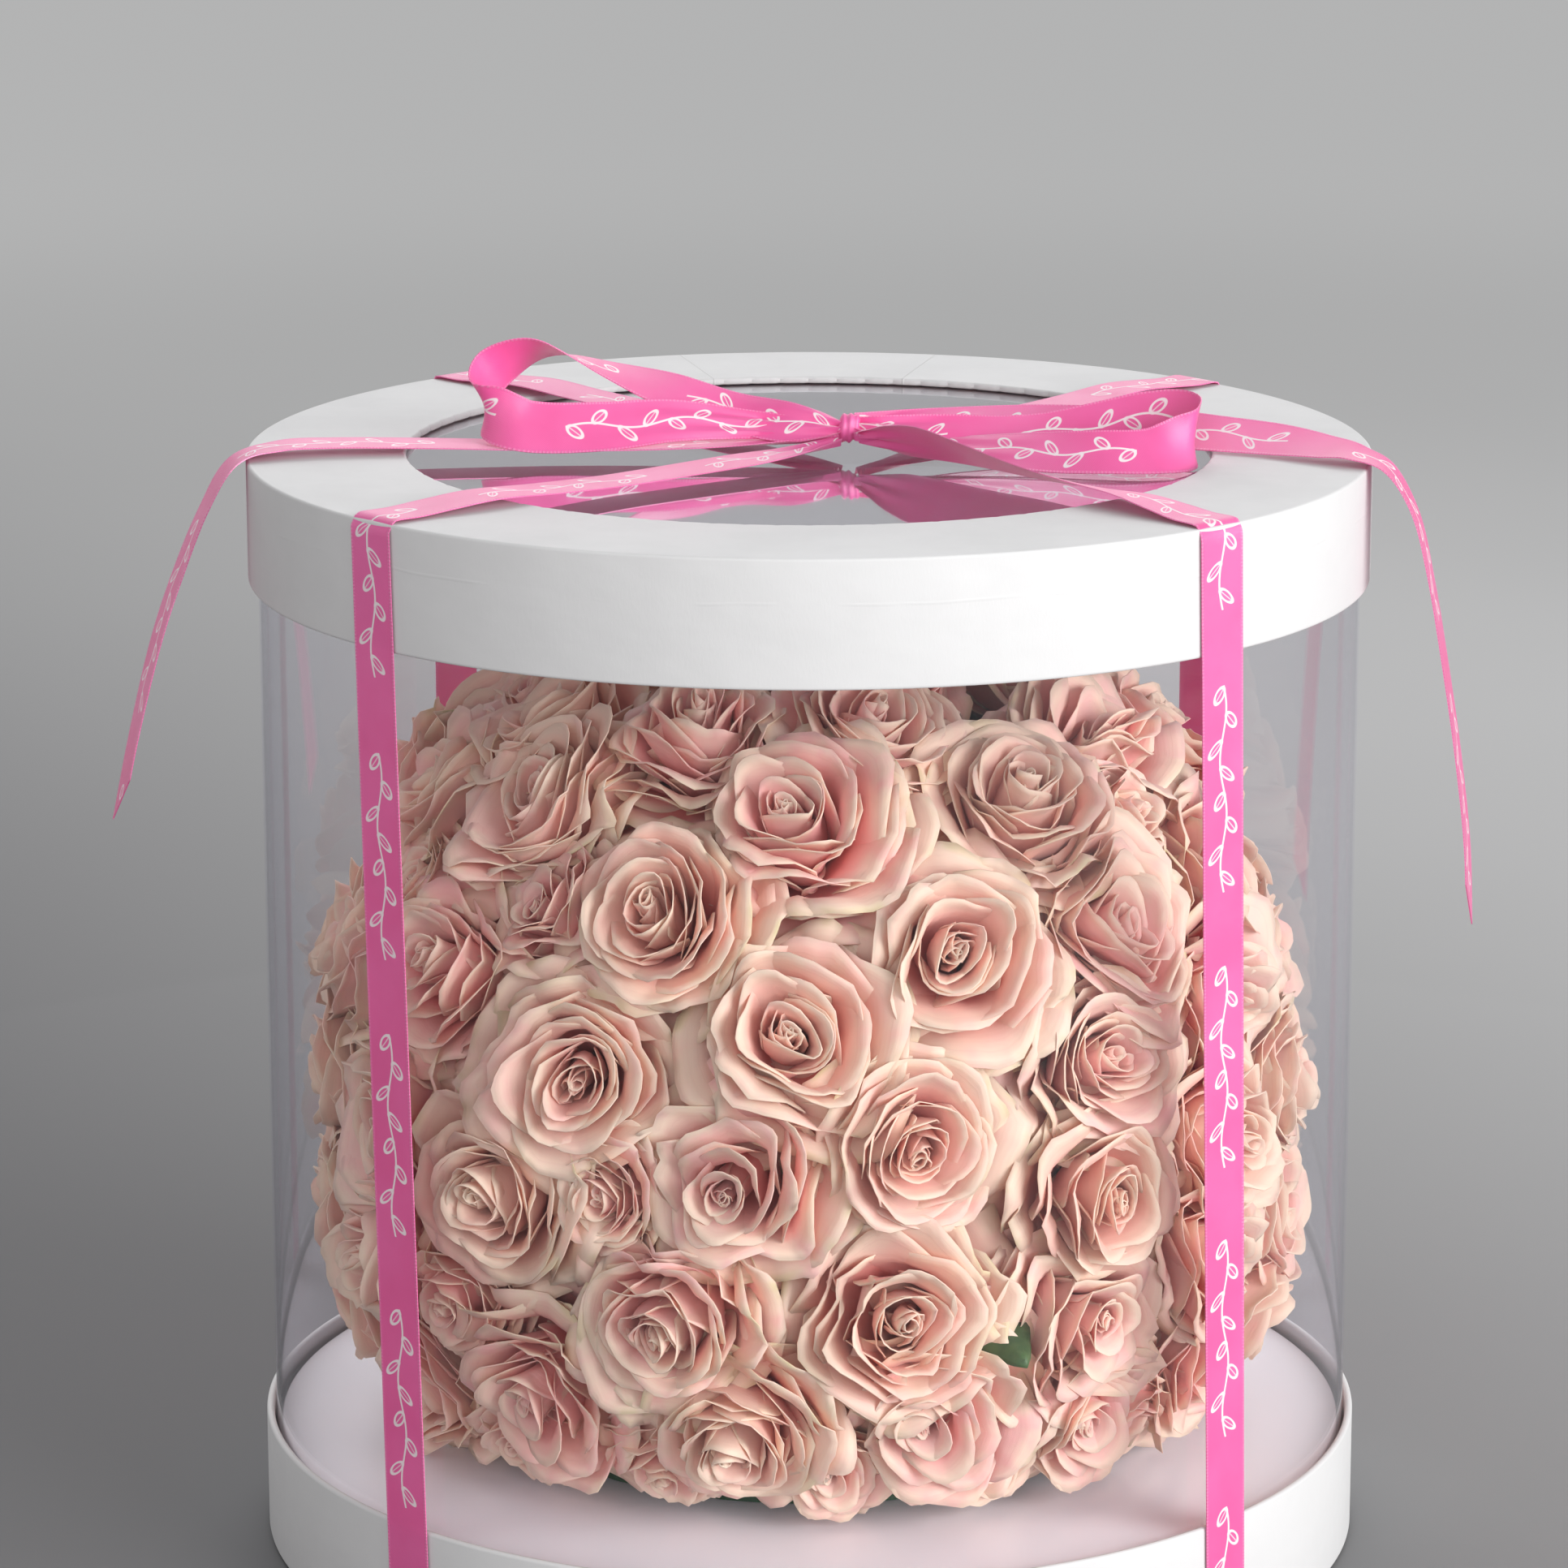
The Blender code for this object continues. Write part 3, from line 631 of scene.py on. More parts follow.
TAIL_RIGHT = (
    (12.6, -0.8, 307.4, 90, 5, 4), (22, 2.2, 306.8, 90, 12, 8),
    (36, 6, 305.6, 90, 20, 13), (55, 8, 305.0, 90, 26, 15),
    (72, 9, 304.6, 88, 28, 15), (90, 3, 304.6, 86, 29, 15),
    (106, -5, 304.4, 86, 27, 15), (122, -12, 304.0, 84, 22, 15),
    (135, -20, 303.4, 80, 12, 15), (144, -26, 302.6, 78, 4, 15),
    (152.5, -31, 299.0, 77, -2, 15), (159, -35, 288, 77, -8, 15),
    (163, -37, 272, 78, -10, 15), (167, -38.5, 250, 78, -10, 15),
    (171, -39.5, 225, 78, -10, 15), (174, -40.5, 200, 78, -10, 15),
    (175, -41.5, 177, 78, -10, 15),
)
# Arms: name, azimuth at the lid and at the base, knot end (x, y, z in mm), lean there in
# degrees, and where its print starts in mm
DROPS = (
    ("ribbon_front_left", -47.1, -43.8, (7.6, -5.6, 302.2), 0, 10.0),
    ("ribbon_front_right", 43.2, 46.4, (13.4, -6.2, 303.6), -60, 44.0),
    ("ribbon_back_left", -137.5, -137.5, (7.6, 0.6, 302.2), 0, 30.0),
    ("ribbon_back_right", 132.0, 132.0, (13.6, 1.0, 302.6), 0, 55.0),
)


def run_length(points):
    """Distance along a row of points, from its first."""
    return np.concatenate([[0], np.cumsum(np.linalg.norm(np.diff(points, axis=0), axis=1))])


def curve_through(stations, spacing):
    """Catmull-Rom curve through rows of numbers, resampled about every spacing metres."""
    rows = np.array(stations, float)
    padded = np.vstack([2 * rows[0] - rows[1], rows, 2 * rows[-1] - rows[-2]])
    fine = []
    for index in range(1, len(padded) - 2):
        a, b, c, d = padded[index - 1 : index + 3]
        t = np.linspace(0, 1, 24, endpoint=False)[:, None]
        square = 2 * a - 5 * b + 4 * c - d
        cube = 3 * b - a - 3 * c + d
        fine.append(0.5 * (2 * b + (c - a) * t + square * t**2 + cube * t**3))
    fine = np.vstack(fine + [rows[-1:]])
    length = run_length(fine[:, :3])
    count = max(3, int(length[-1] / spacing) + 1)
    at = np.linspace(0, length[-1], count)
    return np.stack([np.interp(at, length, fine[:, k]) for k in range(fine.shape[1])], axis=1)


def away(azimuth):
    """Level direction away from the box's axis at an azimuth in degrees."""
    return Vector((sin(radians(azimuth)), -cos(radians(azimuth)), 0))


def strand_rows(stations):
    """Rows of middle point, across direction and width in metres."""
    rows = []
    for x, y, z, azimuth, elevation, width in stations:
        flat = cos(radians(elevation))
        across = (flat * cos(radians(azimuth)), flat * sin(radians(azimuth)), sin(radians(elevation)))
        rows.append((x * MM, y * MM, z * MM, *across, width * MM))
    return rows


def drop_rows(lid_azimuth, base_azimuth, knot_end, lean):
    """One arm: from the knot over the lid, round its edge and down the side to the underside."""
    ride = BOX_RADIUS + RIBBON_GAP + RIBBON_THICKNESS / 2
    lid_top = LID_HIGH.z
    lying = lid_top + LYING_HEIGHT
    outward = away(lid_azimuth)
    knot_end = Vector(knot_end) * MM
    edge = outward * (BOX_RADIUS - EDGE_BEND)
    run = Vector((edge.x - knot_end.x, edge.y - knot_end.y, 0))
    across = Vector((-run.y, run.x, 0)).normalized()
    rows = []
    for share in (0, 0.05, 0.12, 0.22, 0.35, 0.5, 0.65, 0.78, 0.88, 0.95):
        place = Vector((knot_end.x, knot_end.y, 0)) + run * share
        height = lying + (knot_end.z - lying) * (1 - share) ** 5
        height += ARCH * sin(pi * min(1, max(0, (share - 0.55) / 0.45))) ** 2
        roll = radians(lean) * (1 - share) ** 1.3
        height += abs(sin(roll)) * RIBBON_WIDTH / 2 * min(1, share * 4) * 0.9
        width = RIBBON_WIDTH * min(1, 0.27 + share * 4.5)
        tilt = across * cos(roll) + Vector((0, 0, sin(roll)))
        rows.append((place.x, place.y, height, *tilt, width))
    tangent = Vector((-outward.y, outward.x, 0))
    bend_start = lid_top - EDGE_BEND
    for angle in (15, 45, 75, 90):
        reach = BOX_RADIUS - EDGE_BEND + (ride - BOX_RADIUS + EDGE_BEND) * sin(radians(angle))
        height = bend_start + (EDGE_BEND + 1.0 * MM) * cos(radians(angle))
        rows.append((outward.x * reach, outward.y * reach, height, *tangent, RIBBON_WIDTH))
    low = 0.9 * MM
    for share in (0.04, 0.1, 0.25, 0.4, 0.55, 0.7, 0.85, 0.95, 1):
        height = bend_start + (low - bend_start) * share
        out = away(lid_azimuth + (base_azimuth - lid_azimuth) * share)
        side = Vector((-out.y, out.x, 0))
        rows.append((out.x * ride, out.y * ride, height, *side, RIBBON_WIDTH))
    return rows


def ribbon_piece(name, rows, looks, body, nodes, print_start, flip=False, tip=None, both_from=1.0):
    """A thin satin strip along its rows; looks are (printed face, plain face) materials.

    Where the width is gathered the strip folds into pleats of the same true width.
    tip is the slant, in metres, of a pointed cut at the far end.  From the share both_from of
    its length on, the strip shows its print on either face.
    """
    line = curve_through(rows, STEP_ALONG)
    place, across, width = line[:, :3], line[:, 3:6], line[:, 6]
    along = unit(np.gradient(place, axis=0))
    across = unit(across - along * np.sum(across * along, axis=1, keepdims=True))
    normal = np.cross(along, across)
    step = run_length(place)
    total = step[-1]
    lanes = np.linspace(-1, 1, ACROSS_STEPS + 1)
    gather = np.clip(1 - width / RIBBON_WIDTH, 0, 1)
    pleat = np.sin(lanes * pi * PLEATS)[None, :] * (gather * PLEAT_DEPTH)[:, None]
    middle = (
        place[:, None, :]
        + across[:, None, :] * (lanes[None, :, None] * width[:, None, None] / 2)
        + normal[:, None, :] * pleat[:, :, None]
    )
    if tip:
        for lane, cut in enumerate((lanes + 1) / 2 * tip):
            kept = np.minimum(step, total - tip + cut)
            for axis in range(3):
                middle[:, lane, axis] = np.interp(kept, step, middle[:, lane, axis].copy())
    half = normal[:, None, :] * RIBBON_THICKNESS / 2
    verts, faces = closed_shell(middle - half, middle + half)
    slots = []
    for passed in step[:-1]:
        plain_side = 0 if flip or passed > both_from * total else 1
        slots += [plain_side, 1 if flip else 0] * ACROSS_STEPS
    slots += [1] * (len(faces) - len(slots))
    obj = new_piece(name, verts, faces, looks, body, nodes, sharp=60)
    obj.data.polygons.foreach_set("material_index", slots)
    spots = np.zeros((len(verts), 2))
    spots[:, 0] = np.tile(np.repeat(step / MM + print_start, len(lanes)), 2)
    spots[:, 1] = np.tile((lanes + 1) / 2 * RIBBON_WIDTH_MM, 2 * len(step))
    if flip:
        spots[:, 1] = RIBBON_WIDTH_MM - spots[:, 1]
    paint_uv(obj.data, "ribbon", spots)
    return obj


def build_knot(looks):
    """The pinched knot: a short pleated band wound round the ribbon's line."""
    centre = (KNOT_LOW + KNOT_HIGH) / 2
    half = (KNOT_HIGH - KNOT_LOW) / 2
    half = Vector((half.x * 1.25, half.y * 1.2, half.z * 1.2))
    rings = 17
    around = 40
    verts = []
    for ring in range(rings):
        t = ring / (rings - 1) * 2 - 1
        pinch = 0.62 + 0.38 * (1 - t * t) ** 0.5
        for step in range(around):
            angle = 2 * pi * step / around
            fold = 1 + 0.07 * sin(t * 9 + 0.8 * sin(angle)) + 0.04 * sin(3 * angle + t * 3)
            lean = 0.5 * MM * sin(angle)
            verts.append((
                centre.x + t * half.x + lean,
                centre.y + cos(angle) * half.y * pinch * fold,
                centre.z + sin(angle) * half.z * pinch * fold,
            ))
    faces = []
    for ring in range(rings - 1):
        for step in range(around):
            nxt = (step + 1) % around
            low, high = ring * around, (ring + 1) * around
            faces.append((low + step, high + step, high + nxt, low + nxt))
    faces.append(tuple(range(around)))
    faces.append(tuple(reversed(range((rings - 1) * around, rings * around))))
    obj = new_piece("bow_knot_band", verts, faces, looks, "ribbon", ["bow_knot"], sharp=70)
    obj.data.polygons.foreach_set("material_index", [1] * len(faces))
    weave_start = 60
    spots = np.array(verts)[:, [2, 0]] - (centre.z, centre.x)
    paint_uv(obj.data, "ribbon", spots / MM + (weave_start, RIBBON_WIDTH_MM / 2))


def build_under_ribbon(looks):
    """Two satin runs crossing under the base, each from one arm to the one across from it."""
    low = UNDER_RIBBON_HIGH / 2
    reach = BOX_RADIUS - RIBBON_GAP
    front_left, front_right, back_left, back_right = [arm[2] for arm in DROPS]
    for index, pair in enumerate(((front_left, back_right), (front_right, back_left))):
        ends = [away(azimuth) * reach for azimuth in pair]
        rows = []
        for share in (0, 0.25, 0.5, 0.75, 1):
            spot = ends[0].lerp(ends[1], share)
            run = (ends[1] - ends[0]).normalized()
            rows.append((spot.x, spot.y, low, -run.y, run.x, 0, RIBBON_WIDTH))
        name = "ribbon_under_run_" + str(index + 1)
        ribbon_piece(name, rows, looks, "base", ["ribbon_under_cross"], 20 + 30 * index, flip=True)


def build_ribbon(printed, plain):
    """Arms, loops, knot, the runs under the base and the two tails."""
    looks = [printed, plain]
    for name, lid_azimuth, base_azimuth, knot_end, lean, start in DROPS:
        rows = drop_rows(lid_azimuth, base_azimuth, knot_end, lean)
        ribbon_piece(name + "_satin", rows, looks, "ribbon", [name], start)
    left, right = strand_rows(LOOP_LEFT), strand_rows(LOOP_RIGHT)
    ribbon_piece("bow_loop_left_satin", left, looks, "ribbon", ["bow_loop_left"], 12, flip=True)
    ribbon_piece(
        "bow_loop_right_satin", right, looks, "ribbon", ["bow_loop_right"], 30, both_from=0.5
    )
    build_knot(looks)
    build_under_ribbon(looks)
    # Side, stations, where its print starts, its station at the hinge, whether it is flipped
    for side, stations, start, hinge, flip in (
        ("left", TAIL_LEFT, 40, 6, True),
        ("right", TAIL_RIGHT, 8, 9, False),
    ):
        name = "tail_" + side
        nodes = [name + "_lying", name + "_hanging"]
        rows = strand_rows(stations)
        piece = ribbon_piece(name + "_satin", rows, looks, None, nodes, start, flip, tip=TAIL_TIP)
        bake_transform(piece)


# ---------------------------------------------------------------- roses

# Petal layers from the heart outwards: count, foot radius, length, angle from the axis at the
# foot and higher up, lip curl (degrees), half width, wrap (1 = round the axis), ruffle (mm)
PETAL_LAYERS = (
    (4, 1.2, 26.0, 9, -5, 4, 8.0, 0.95, 0.15),
    (4, 1.8, 28.0, 22, 2, 10, 11.0, 1.00, 0.30),
    (5, 2.6, 29.0, 33, 8, 22, 13.5, 1.05, 0.45),
    (6, 3.4, 29.5, 44, 16, 34, 16.0, 1.10, 0.60),
    (6, 4.2, 29.5, 55, 26, 44, 18.0, 1.15, 0.90),
    (7, 5.0, 28.5, 68, 38, 52, 19.5, 1.25, 1.5),
    (6, 6.0, 28.0, 84, 58, 50, 21.0, 1.45, 1.9),
)
PETAL_THICKNESS = 0.28 * MM
PETAL_MARGIN = 2.2 * MM
ROSE_VARIANTS = 10
ALONG_STEPS = 9
SIDE_STEPS = 10
PROFILE_STEPS = 60

# Random waves that crumple a bloom: wave length and push, in mm
CRUMPLES = ((36, 2.4), (25, 1.5), (16, 0.5))
CRUMPLE_HEIGHT = 14 * MM


def smooth(value):
    """Smooth step from 0 to 1."""
    value = np.clip(value, 0, 1)
    return value * value * (3 - 2 * value)


def crumple(points, waves):
    """Push points about by a few long random waves, more towards the top of the bloom."""
    moved = points.copy()
    grip = np.clip(points[..., 2] / CRUMPLE_HEIGHT, 0, 1)[..., None]
    for direction, phase, push in waves:
        moved += np.sin(points @ direction + phase)[..., None] * push * grip
    return moved


def crumple_waves(rng):
    """Wave direction, phase and push of a bloom's crumpling."""
    waves = []
    for length, size in CRUMPLES:
        for _ in range(2):
            direction = unit(rng.normal(0, 1, 3)) * 2 * pi / (length * MM)
            waves.append((direction, rng.uniform(0, 2 * pi), rng.normal(0, 1, 3) * size * MM * 0.7))
    return waves


def petal_profile(foot, length, low_angle, high_angle, curl):
    """Radius and height along a petal's middle line, from its foot to its curled lip."""
    fine = np.linspace(0, 1, PROFILE_STEPS)
    angle = low_angle + (high_angle - low_angle) * smooth(fine / 0.62)
    angle = np.radians(angle + curl * smooth((fine - 0.66) / 0.34))
    step = length / (PROFILE_STEPS - 1)
    radius = foot + np.concatenate([[0], np.cumsum(np.sin(angle[:-1]) * step)])
    height = np.concatenate([[0], np.cumsum(np.cos(angle[:-1]) * step)])
    return fine, radius, height


def petal_sheet(rng, layer, index, openness):
    """Middle surface of one petal and its tone channels."""
    count, foot, length, low_angle, high_angle, curl, half_width, wrap, ruffle = PETAL_LAYERS[layer]
    length = length * rng.uniform(0.93, 1.07) * MM
    half_width = half_width * rng.uniform(0.92, 1.10) * MM
    low_angle = low_angle * openness + rng.normal(0, 2.5)
    high_angle = high_angle * openness + rng.normal(0, 3.5)
    curl = curl * rng.uniform(0.6, 1.35)

    # Outline: u runs across and v from foot to tip; the tip falls off sideways, with a dent
    u = np.linspace(-1, 1, SIDE_STEPS + 1)
    v = np.linspace(0, 1, ALONG_STEPS + 1) ** 0.85
    tip_drop = rng.uniform(0.20, 0.32)
    dent = rng.uniform(-0.04, 0.05)
    reach = 1 - tip_drop * np.abs(u) ** 2.6 - dent * np.exp(-((u / 0.25) ** 2))
    reach = reach + 0.005 * layer * np.sin(6.5 * u + 90 * dent)
    vv = v[:, None] * reach[None, :]
    uu = np.broadcast_to(u, vv.shape)

    # The sheet follows the profile and wraps round the bloom's axis
    fine, radius, height = petal_profile(foot * MM, length, low_angle, high_angle, curl)
    r = np.interp(vv, fine, radius)
    z = np.interp(vv, fine, height)
    breadth = half_width * (0.30 + 0.70 * np.sin(np.clip(vv / 0.66, 0, 1) * pi / 2) ** 0.9)
    breadth = breadth * (1 - 0.12 * smooth((vv - 0.8) / 0.2))
    bend_radius = np.maximum(r * wrap, PETAL_MARGIN)
    turn = uu * breadth / bend_radius
    x = r - bend_radius * (1 - np.cos(turn))
    y = bend_radius * np.sin(turn)
    spiral = (0.8 + 0.10 * layer) * MM
    x = x + uu * spiral * (0.4 + vv)
    surface = np.stack([x, y, z], axis=-1)

    # Rolled sides, a ruffled edge and a crease down the middle
    normal = sheet_normals(surface)
    side_curl = (1.0 + 0.5 * layer) * MM * rng.uniform(0.4, 1.4)
    side_curl = side_curl * smooth((np.abs(uu) - 0.62) / 0.38) * smooth(vv / 0.7)
    edge = np.maximum(np.abs(uu) ** 1.5 * 0.98, vv / reach[None, :])
    waves = rng.uniform(1.3, 2.4)
    phase = rng.uniform(0, 2 * pi)
    ripple = np.sin(uu * pi * waves + phase)
    ripple = ripple + 0.35 * np.sin(uu * pi * (2.3 * waves) + 1.7 * phase)
    ripple = ripple * ruffle * MM * smooth((edge - 0.45) / 0.55)
    crease = -0.5 * MM * np.exp(-((uu / 0.12) ** 2))
    crease = crease * smooth(vv / 0.5) * (1 - smooth((vv - 0.75) / 0.25))
    surface = surface + normal * (side_curl + ripple + crease)[:, :, None]

    azimuth = 2 * pi * (index + rng.uniform(-0.18, 0.18)) / count + layer * 2.4
    c, s = cos(azimuth), sin(azimuth)
    surface = surface @ np.array([[c, s, 0], [-s, c, 0], [0, 0, 1]])
    depth = np.full_like(vv, layer / (len(PETAL_LAYERS) - 1))
    chance = np.full_like(vv, rng.uniform(0, 1))
    tone = np.stack([edge, vv, depth, chance], axis=-1)
    return surface, tone, np.stack([(uu + 1) / 2, vv], axis=-1)


def rose_mesh(variant, look):
    """One bloom: spiralled layers of thin cupped petals, foot at the origin, facing +Z."""
    rng = np.random.default_rng(40 + variant)
    openness = rng.uniform(0.82, 1.18)
    waves = crumple_waves(rng)
    verts, faces, tones, uvs = [], [], [], []
    start = 0
    for layer, settings in enumerate(PETAL_LAYERS):
        for index in range(settings[0]):
            surface, tone, uv = petal_sheet(rng, layer, index, openness)
            surface = crumple(surface, waves)
            sheet, quads = closed_sheet(surface, PETAL_THICKNESS)
            verts.append(sheet)
            faces += [tuple(corner + start for corner in quad) for quad in quads]
            start += len(sheet)
            tones += [tone.reshape(-1, 4)] * 2
            uvs += [uv.reshape(-1, 2)] * 2
    mesh = new_mesh("rose_" + str(variant), np.concatenate(verts), faces, [look])
    paint = mesh.color_attributes.new("petal", "FLOAT_COLOR", "POINT")
    paint.data.foreach_set("color", np.concatenate(tones).astype(np.float32).ravel())
    paint_uv(mesh, "petal", np.concatenate(uvs))
    return mesh


# Middle of each bloom that faces the front: (azimuth in degrees, height in mm)
FRONT_BLOOMS = (
    (-25, 246), (17, 247), (-66, 240), (69, 236), (-4, 228), (37, 229), (-50, 227), (-80, 219),
    (-22, 203), (74, 195), (45, 194), (18, 192), (-2, 175), (-53, 178), (-79, 168), (64, 161),
    (-28, 157), (13, 142), (38, 160), (-10, 134), (59, 129), (-62, 130), (37, 122), (-40, 122),
    (81, 128), (-84, 128), (58, 97), (10, 97), (-17, 94), (-64, 90), (36, 86), (-86, 92),
    (82, 92), (14, 62), (-10, 58), (-36, 60), (60, 62), (-61, 54), (84, 58), (-86, 58), (38, 54),
)
# Rows of blooms round the back: height in mm, count, first and last azimuth
BACK_ROWS = (
    (58, 7, 108, 250), (92, 7, 103, 252), (128, 8, 104, 256), (163, 8, 92, 262),
    (196, 7, 99, 258), (226, 6, 98, 250), (246, 4, 112, 250),
)
# Rings of blooms all the way round: height in mm, count, first azimuth; the lower is of small ones
TOP_RING = (254, 3, 40)
UNDER_ROW = (46, 16, 3)
# More small blooms, sunk into the widest gaps
FILLERS = (
    (-48, 86), (-25, 126), (-68, 194), (-40, 200), (58, 215), (-88, 239), (-170, 77), (-146, 77),
    (-122, 74), (112, 212), (116, 107),
)
SMALL_SIZE = 0.7

BALL_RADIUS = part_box("roses_tier_2")[1].x + 1 * MM
BALL_MIDDLE = 108 * MM
BALL_DROP = 105 * MM
BALL_EXPONENT = 2.5
TOP_RING_RADIUS = 27 * MM
BLOOM_DEPTH = 30 * MM
SMALL_SINK = 6 * MM


def ball_surface(height):
    """Radius of the ball and its outward slope (radial, up) at a height."""
    up = height - BALL_MIDDLE
    rise = (BALL_HIGH - BALL_MIDDLE) if up > 0 else BALL_DROP
    share = min(abs(up) / rise, 0.999)
    radius = BALL_RADIUS * (1 - share**BALL_EXPONENT) ** (1 / BALL_EXPONENT)
    radial = (radius / BALL_RADIUS) ** (BALL_EXPONENT - 1) / BALL_RADIUS
    upward = share ** (BALL_EXPONENT - 1) / rise * (1 if up > 0 else -1)
    size = (radial**2 + upward**2) ** 0.5
    return radius, radial / size, upward / size


def bloom_spots():
    """Azimuth in degrees and height in mm of every bloom."""
    spots = list(FRONT_BLOOMS)
    for height, count, first, last in BACK_ROWS:
        for index in range(count):
            spots.append((first + (last - first) * index / (count - 1), height))
    for height, count, first in (TOP_RING, UNDER_ROW):
        spots += [(first + 360 * index / count, height) for index in range(count)]
    return spots + list(FILLERS)


def plant(name, mesh, foot, facing, roll, size=1.0):
    """A copy of a bloom or leaf with its foot at a place, facing a way, in the arrangement."""
    obj = add_object(name, mesh)
    obj.matrix_world = (
        Matrix.Translation(foot)
        @ facing.to_track_quat("Z", "Y").to_matrix().to_4x4()
        @ Matrix.Rotation(roll, 4, "Z")
        @ Matrix.Scale(size, 4)
    )
    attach(obj, "arrangement")
    return obj


def build_roses(look):
    """The ball of blooms, from a few meshes with random turns, sizes and tones."""
    meshes = [rose_mesh(variant, look) for variant in range(ROSE_VARIANTS)]
    rng = np.random.default_rng(7)
    tiers = ["roses_tier_" + str(number) for number in range(1, 8)] + ["roses_crown"]
    for number, (azimuth, height) in enumerate(bloom_spots(), start=1):
        radius, radial, upward = ball_surface(height * MM)
        outward = away(azimuth)
        if height == TOP_RING[0]:
            radius = TOP_RING_RADIUS
            radial, upward = 0.3, 0.95
        facing = outward * radial + Vector((0, 0, upward))
        facing += Vector(rng.normal(0, 0.10, 3).tolist())
        facing.normalize()
        size = rng.uniform(0.94, 1.10)
        if height == UNDER_ROW[0] or (azimuth, height) in FILLERS:
            size = SMALL_SIZE
            radius -= SMALL_SINK
        surface = outward * radius + Vector((0, 0, height * MM))
        foot = surface - facing * (BLOOM_DEPTH * size - 1 * MM)
        mesh = meshes[int(rng.integers(ROSE_VARIANTS))]
        roll = rng.uniform(0, 2 * pi)
        obj = plant("rose_" + str(number).zfill(2), mesh, foot, facing, roll, size)
        obj["bloom_tone"] = float(rng.uniform(0, 1))
        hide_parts(*tiers)


# Leaves whose tips show between blooms: azimuth, height and depth of the foot in mm, roll
LEAVES = (
    (23, 90, 29, 200), (78, 158, 34, 20), (-88, 194, 34, 40), (-160, 110, 34, 210),
    (140, 76, 34, 140), (-110, 146, 34, 20), (170, 212, 34, 80),
)


def leaf_mesh(look):
    """A small pointed rose leaf, cupped along its middle, foot at the origin and tip at +Z."""
    length, half_width = 30 * MM, 8 * MM
    v = np.linspace(0, 1, 13)[:, None]
    u = np.linspace(-1, 1, 9)[None, :]
    spread = half_width * np.sin(pi * v**0.8) ** 0.8
    teeth = 1 + 0.05 * np.sin(v * pi * 18) * np.abs(u) ** 3
    x = u * spread * teeth
    y = (u**2) * 2.4 * MM + 4 * MM * v**2 + 0 * x
    z = length * v + 0 * x
    verts, faces = closed_sheet(np.stack([x, y, z], axis=-1), 0.35 * MM)
    return new_mesh("leaf", verts, faces, [look])


def build_leaves(look):
    mesh = leaf_mesh(look)
    for number, (azimuth, height, depth, roll) in enumerate(LEAVES, start=1):
        radius, radial, upward = ball_surface(height * MM)
        outward = away(azimuth)
        facing = (outward * radial + Vector((0, 0, upward))).normalized()
        foot = outward * radius + Vector((0, 0, height * MM)) - facing * depth * MM
        plant("leaf_" + str(number).zfill(2), mesh, foot, facing, radians(roll))


# ---------------------------------------------------------------- studio

FLOOR_REACH = 60.0
FLOOR_SIDES = 64
SKY_COLOUR = (0.995, 0.998, 1.0)
SKY_STRENGTH = 0.455


def studio_floor_grey():
    """Grey floor with painted shadow, darker towards the front left, that fades into the sky a little
    way off.
    """
    g = Graph("studio_grey")
    here = g.place()
    x, y = g.split(here)[:2]
    # Painted shadow: the floor is darkened towards the front left for the box's cast shadow and the
    # fall-off of light away from the key on the right.
    painted_shadow_slant = g.math("MULTIPLY_ADD", x, 1.6, y)
    shade = g.mix(g.between(painted_shadow_slant, -0.4, 1.8), (0.145, 0.145, 0.15), (0.46, 0.46, 0.465))
    cloud = g.noise(here, 2.5, 2)
    shade = g.mix(g.times(g.between(cloud, 0.3, 0.7), 0.05), shade, (0.22, 0.22, 0.225))
    near = g.principled(Base_Color=shade, Roughness=0.8, Specular_IOR_Level=0.2)
    far = g.add("Emission", {"Color": SKY_COLOUR, "Strength": SKY_STRENGTH})
    distance = g.add("VectorMath", {0: here}, out=1, operation="LENGTH")
    return g.finish(g.add("MixShader", {0: g.between(distance, 0.75, 2.7), 1: near, 2: far}))


def build_studio():
    """A wide round floor, and a plain sky of the colour that the floor fades into."""
    verts = [(0, 0, 0)]
    for step in range(FLOOR_SIDES):
        angle = 2 * pi * step / FLOOR_SIDES
        verts.append((FLOOR_REACH * cos(angle), FLOOR_REACH * sin(angle), 0))
    faces = [(0, 1 + step, 1 + (step + 1) % FLOOR_SIDES) for step in range(FLOOR_SIDES)]
    mesh = new_mesh("studio_floor", verts, faces, [studio_floor_grey()])
    add_object("studio_floor", mesh)
    world = bpy.data.worlds.new("studio")
    world.use_nodes = True
    sky = world.node_tree.nodes["Background"].inputs
    sky["Color"].default_value = (*SKY_COLOUR, 1)
    sky["Strength"].default_value = SKY_STRENGTH
    bpy.context.scene.world = world


def area_light(name, place, size, power, colour=(1.0, 1.0, 1.0), mirrored=True):
    """A soft rectangular lamp that looks at the box's middle."""
    lamp = bpy.data.lights.new(name, "AREA")
    lamp.shape = "RECTANGLE"
    lamp.size, lamp.size_y = size
    lamp.energy = power
    lamp.spread = radians(80)
    lamp.color = colour
    obj = add_object(name, lamp)
    obj.location = place
    middle = Vector((0, 0, 160 * MM))
    obj.rotation_euler = (middle - Vector(place)).to_track_quat("-Z", "Y").to_euler()
    obj.visible_camera = False
    obj.visible_glossy = mirrored
    return obj


def keep_off(lamp, piece_name):
    """Keep a lamp's light and its mirror image off one piece."""
    skipped = bpy.data.collections.new(lamp.name + "_skips")
    skipped.objects.link(bpy.data.objects[piece_name])
    skipped.collection_objects[0].light_linking.link_state = "EXCLUDE"
    lamp.light_linking.receiver_collection = skipped


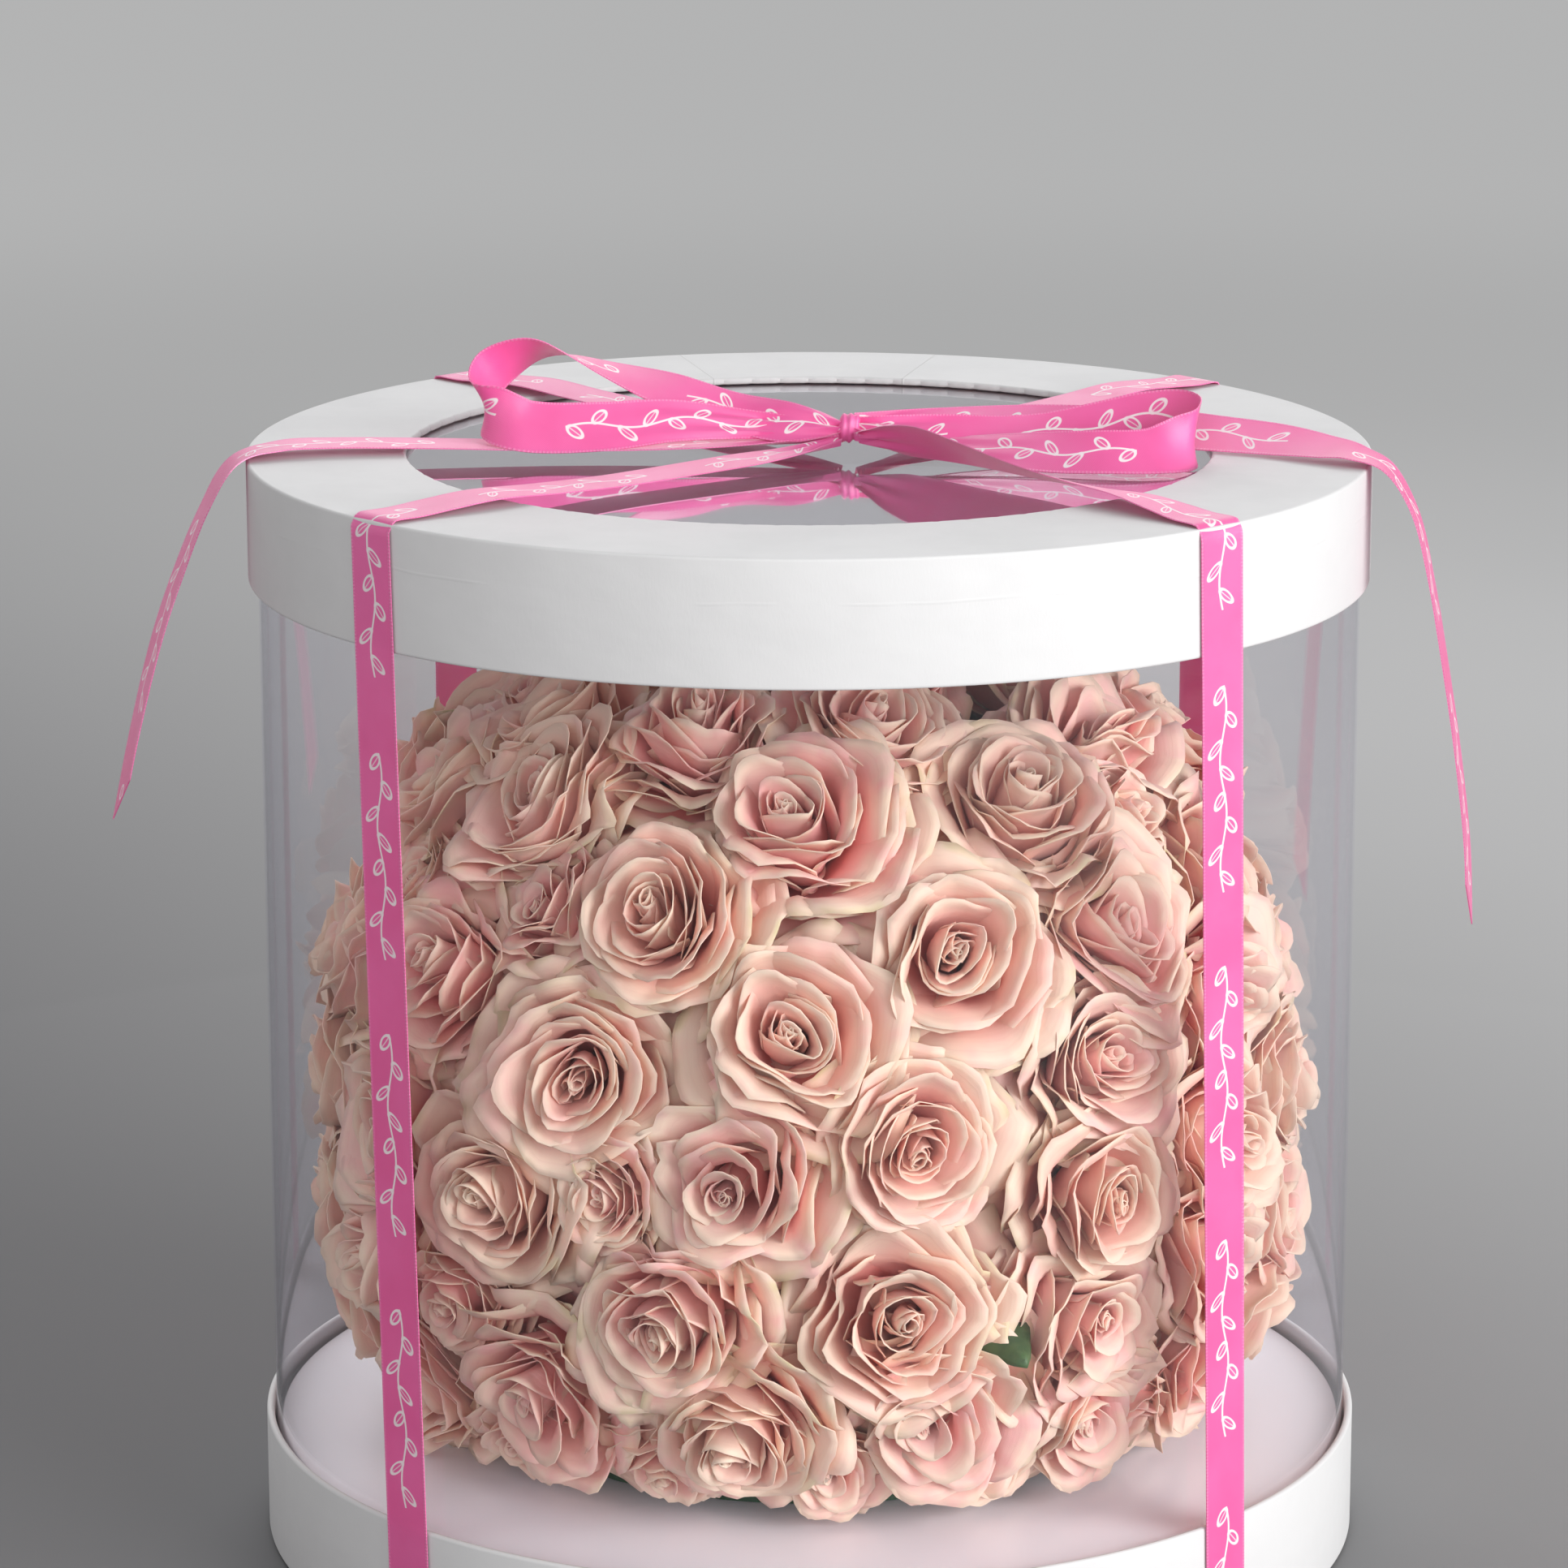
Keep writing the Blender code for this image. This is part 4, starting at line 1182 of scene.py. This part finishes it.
def build_lights():
    key = area_light("key", (1.95, -1.55, 0.76), (2.2, 1.5), 21.5, (1.0, 0.99, 0.97))
    keep_off(key, "lid_window_film")
    area_light("front", (-0.1, -2.3, 0.75), (2.0, 0.9), 2.9)
    area_light("left", (-2.2, -1.1, 0.9), (1.6, 1.2), 1.6, (1.0, 0.93, 0.89))
    area_light("back", (-0.3, 2.4, 1.1), (2.6, 1.2), 10.5, mirrored=False)
    area_light("rim", (-0.2, 2.3, 2.0), (2.6, 1.0), 4.8)


CAMERA_PLACE_MM = (-1.6, -1589.9, 595.5)
CAMERA_LOOKS_DOWN = radians(13.731)
CAMERA_ROLL = 0.0015
CAMERA_PAN = 0.0029
CAMERA_FAR = 200.0
LENS_MM = 138.75
SENSOR_MM = 36


def build_camera():
    lens = bpy.data.cameras.new("camera")
    lens.sensor_width = SENSOR_MM
    lens.lens = LENS_MM
    lens.clip_end = CAMERA_FAR
    camera = add_object("camera", lens)
    camera.location = Vector(CAMERA_PLACE_MM) * MM
    camera.rotation_mode = "XYZ"
    camera.rotation_euler = (pi / 2 - CAMERA_LOOKS_DOWN, CAMERA_ROLL, CAMERA_PAN)
    bpy.context.scene.camera = camera


# ---------------------------------------------------------------- scene


def dress_hidden_parts():
    """Foam and tray keep their CAD shape and get their own materials."""
    for node, look in (("wet_foam", wet_foam()), ("foam_tray", tray_plastic())):
        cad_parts[node].data.materials.clear()
        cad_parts[node].data.materials.append(look)


def main():
    paper = wrapped_paper()
    window = clear_film("window_film", (0.88, 0.86, 0.90), 0.03, 1.1, 2.4, 0.13, 1.0)
    sleeve = clear_film("sleeve_film", (0.988, 0.985, 0.995), 0.018, 0.7, 4.0, 0.014, 0.05)
    build_box(paper, window, sleeve, platform_board())
    build_ribbon(satin("satin_print", True), satin("satin_plain", False))
    build_roses(rose_petal())
    build_leaves(leaf_green())
    dress_hidden_parts()
    build_studio()
    build_lights()
    build_camera()
    bpy.context.scene.view_settings.view_transform = "Standard"
    bpy.context.scene.cycles.diffuse_bounces = 8


main()
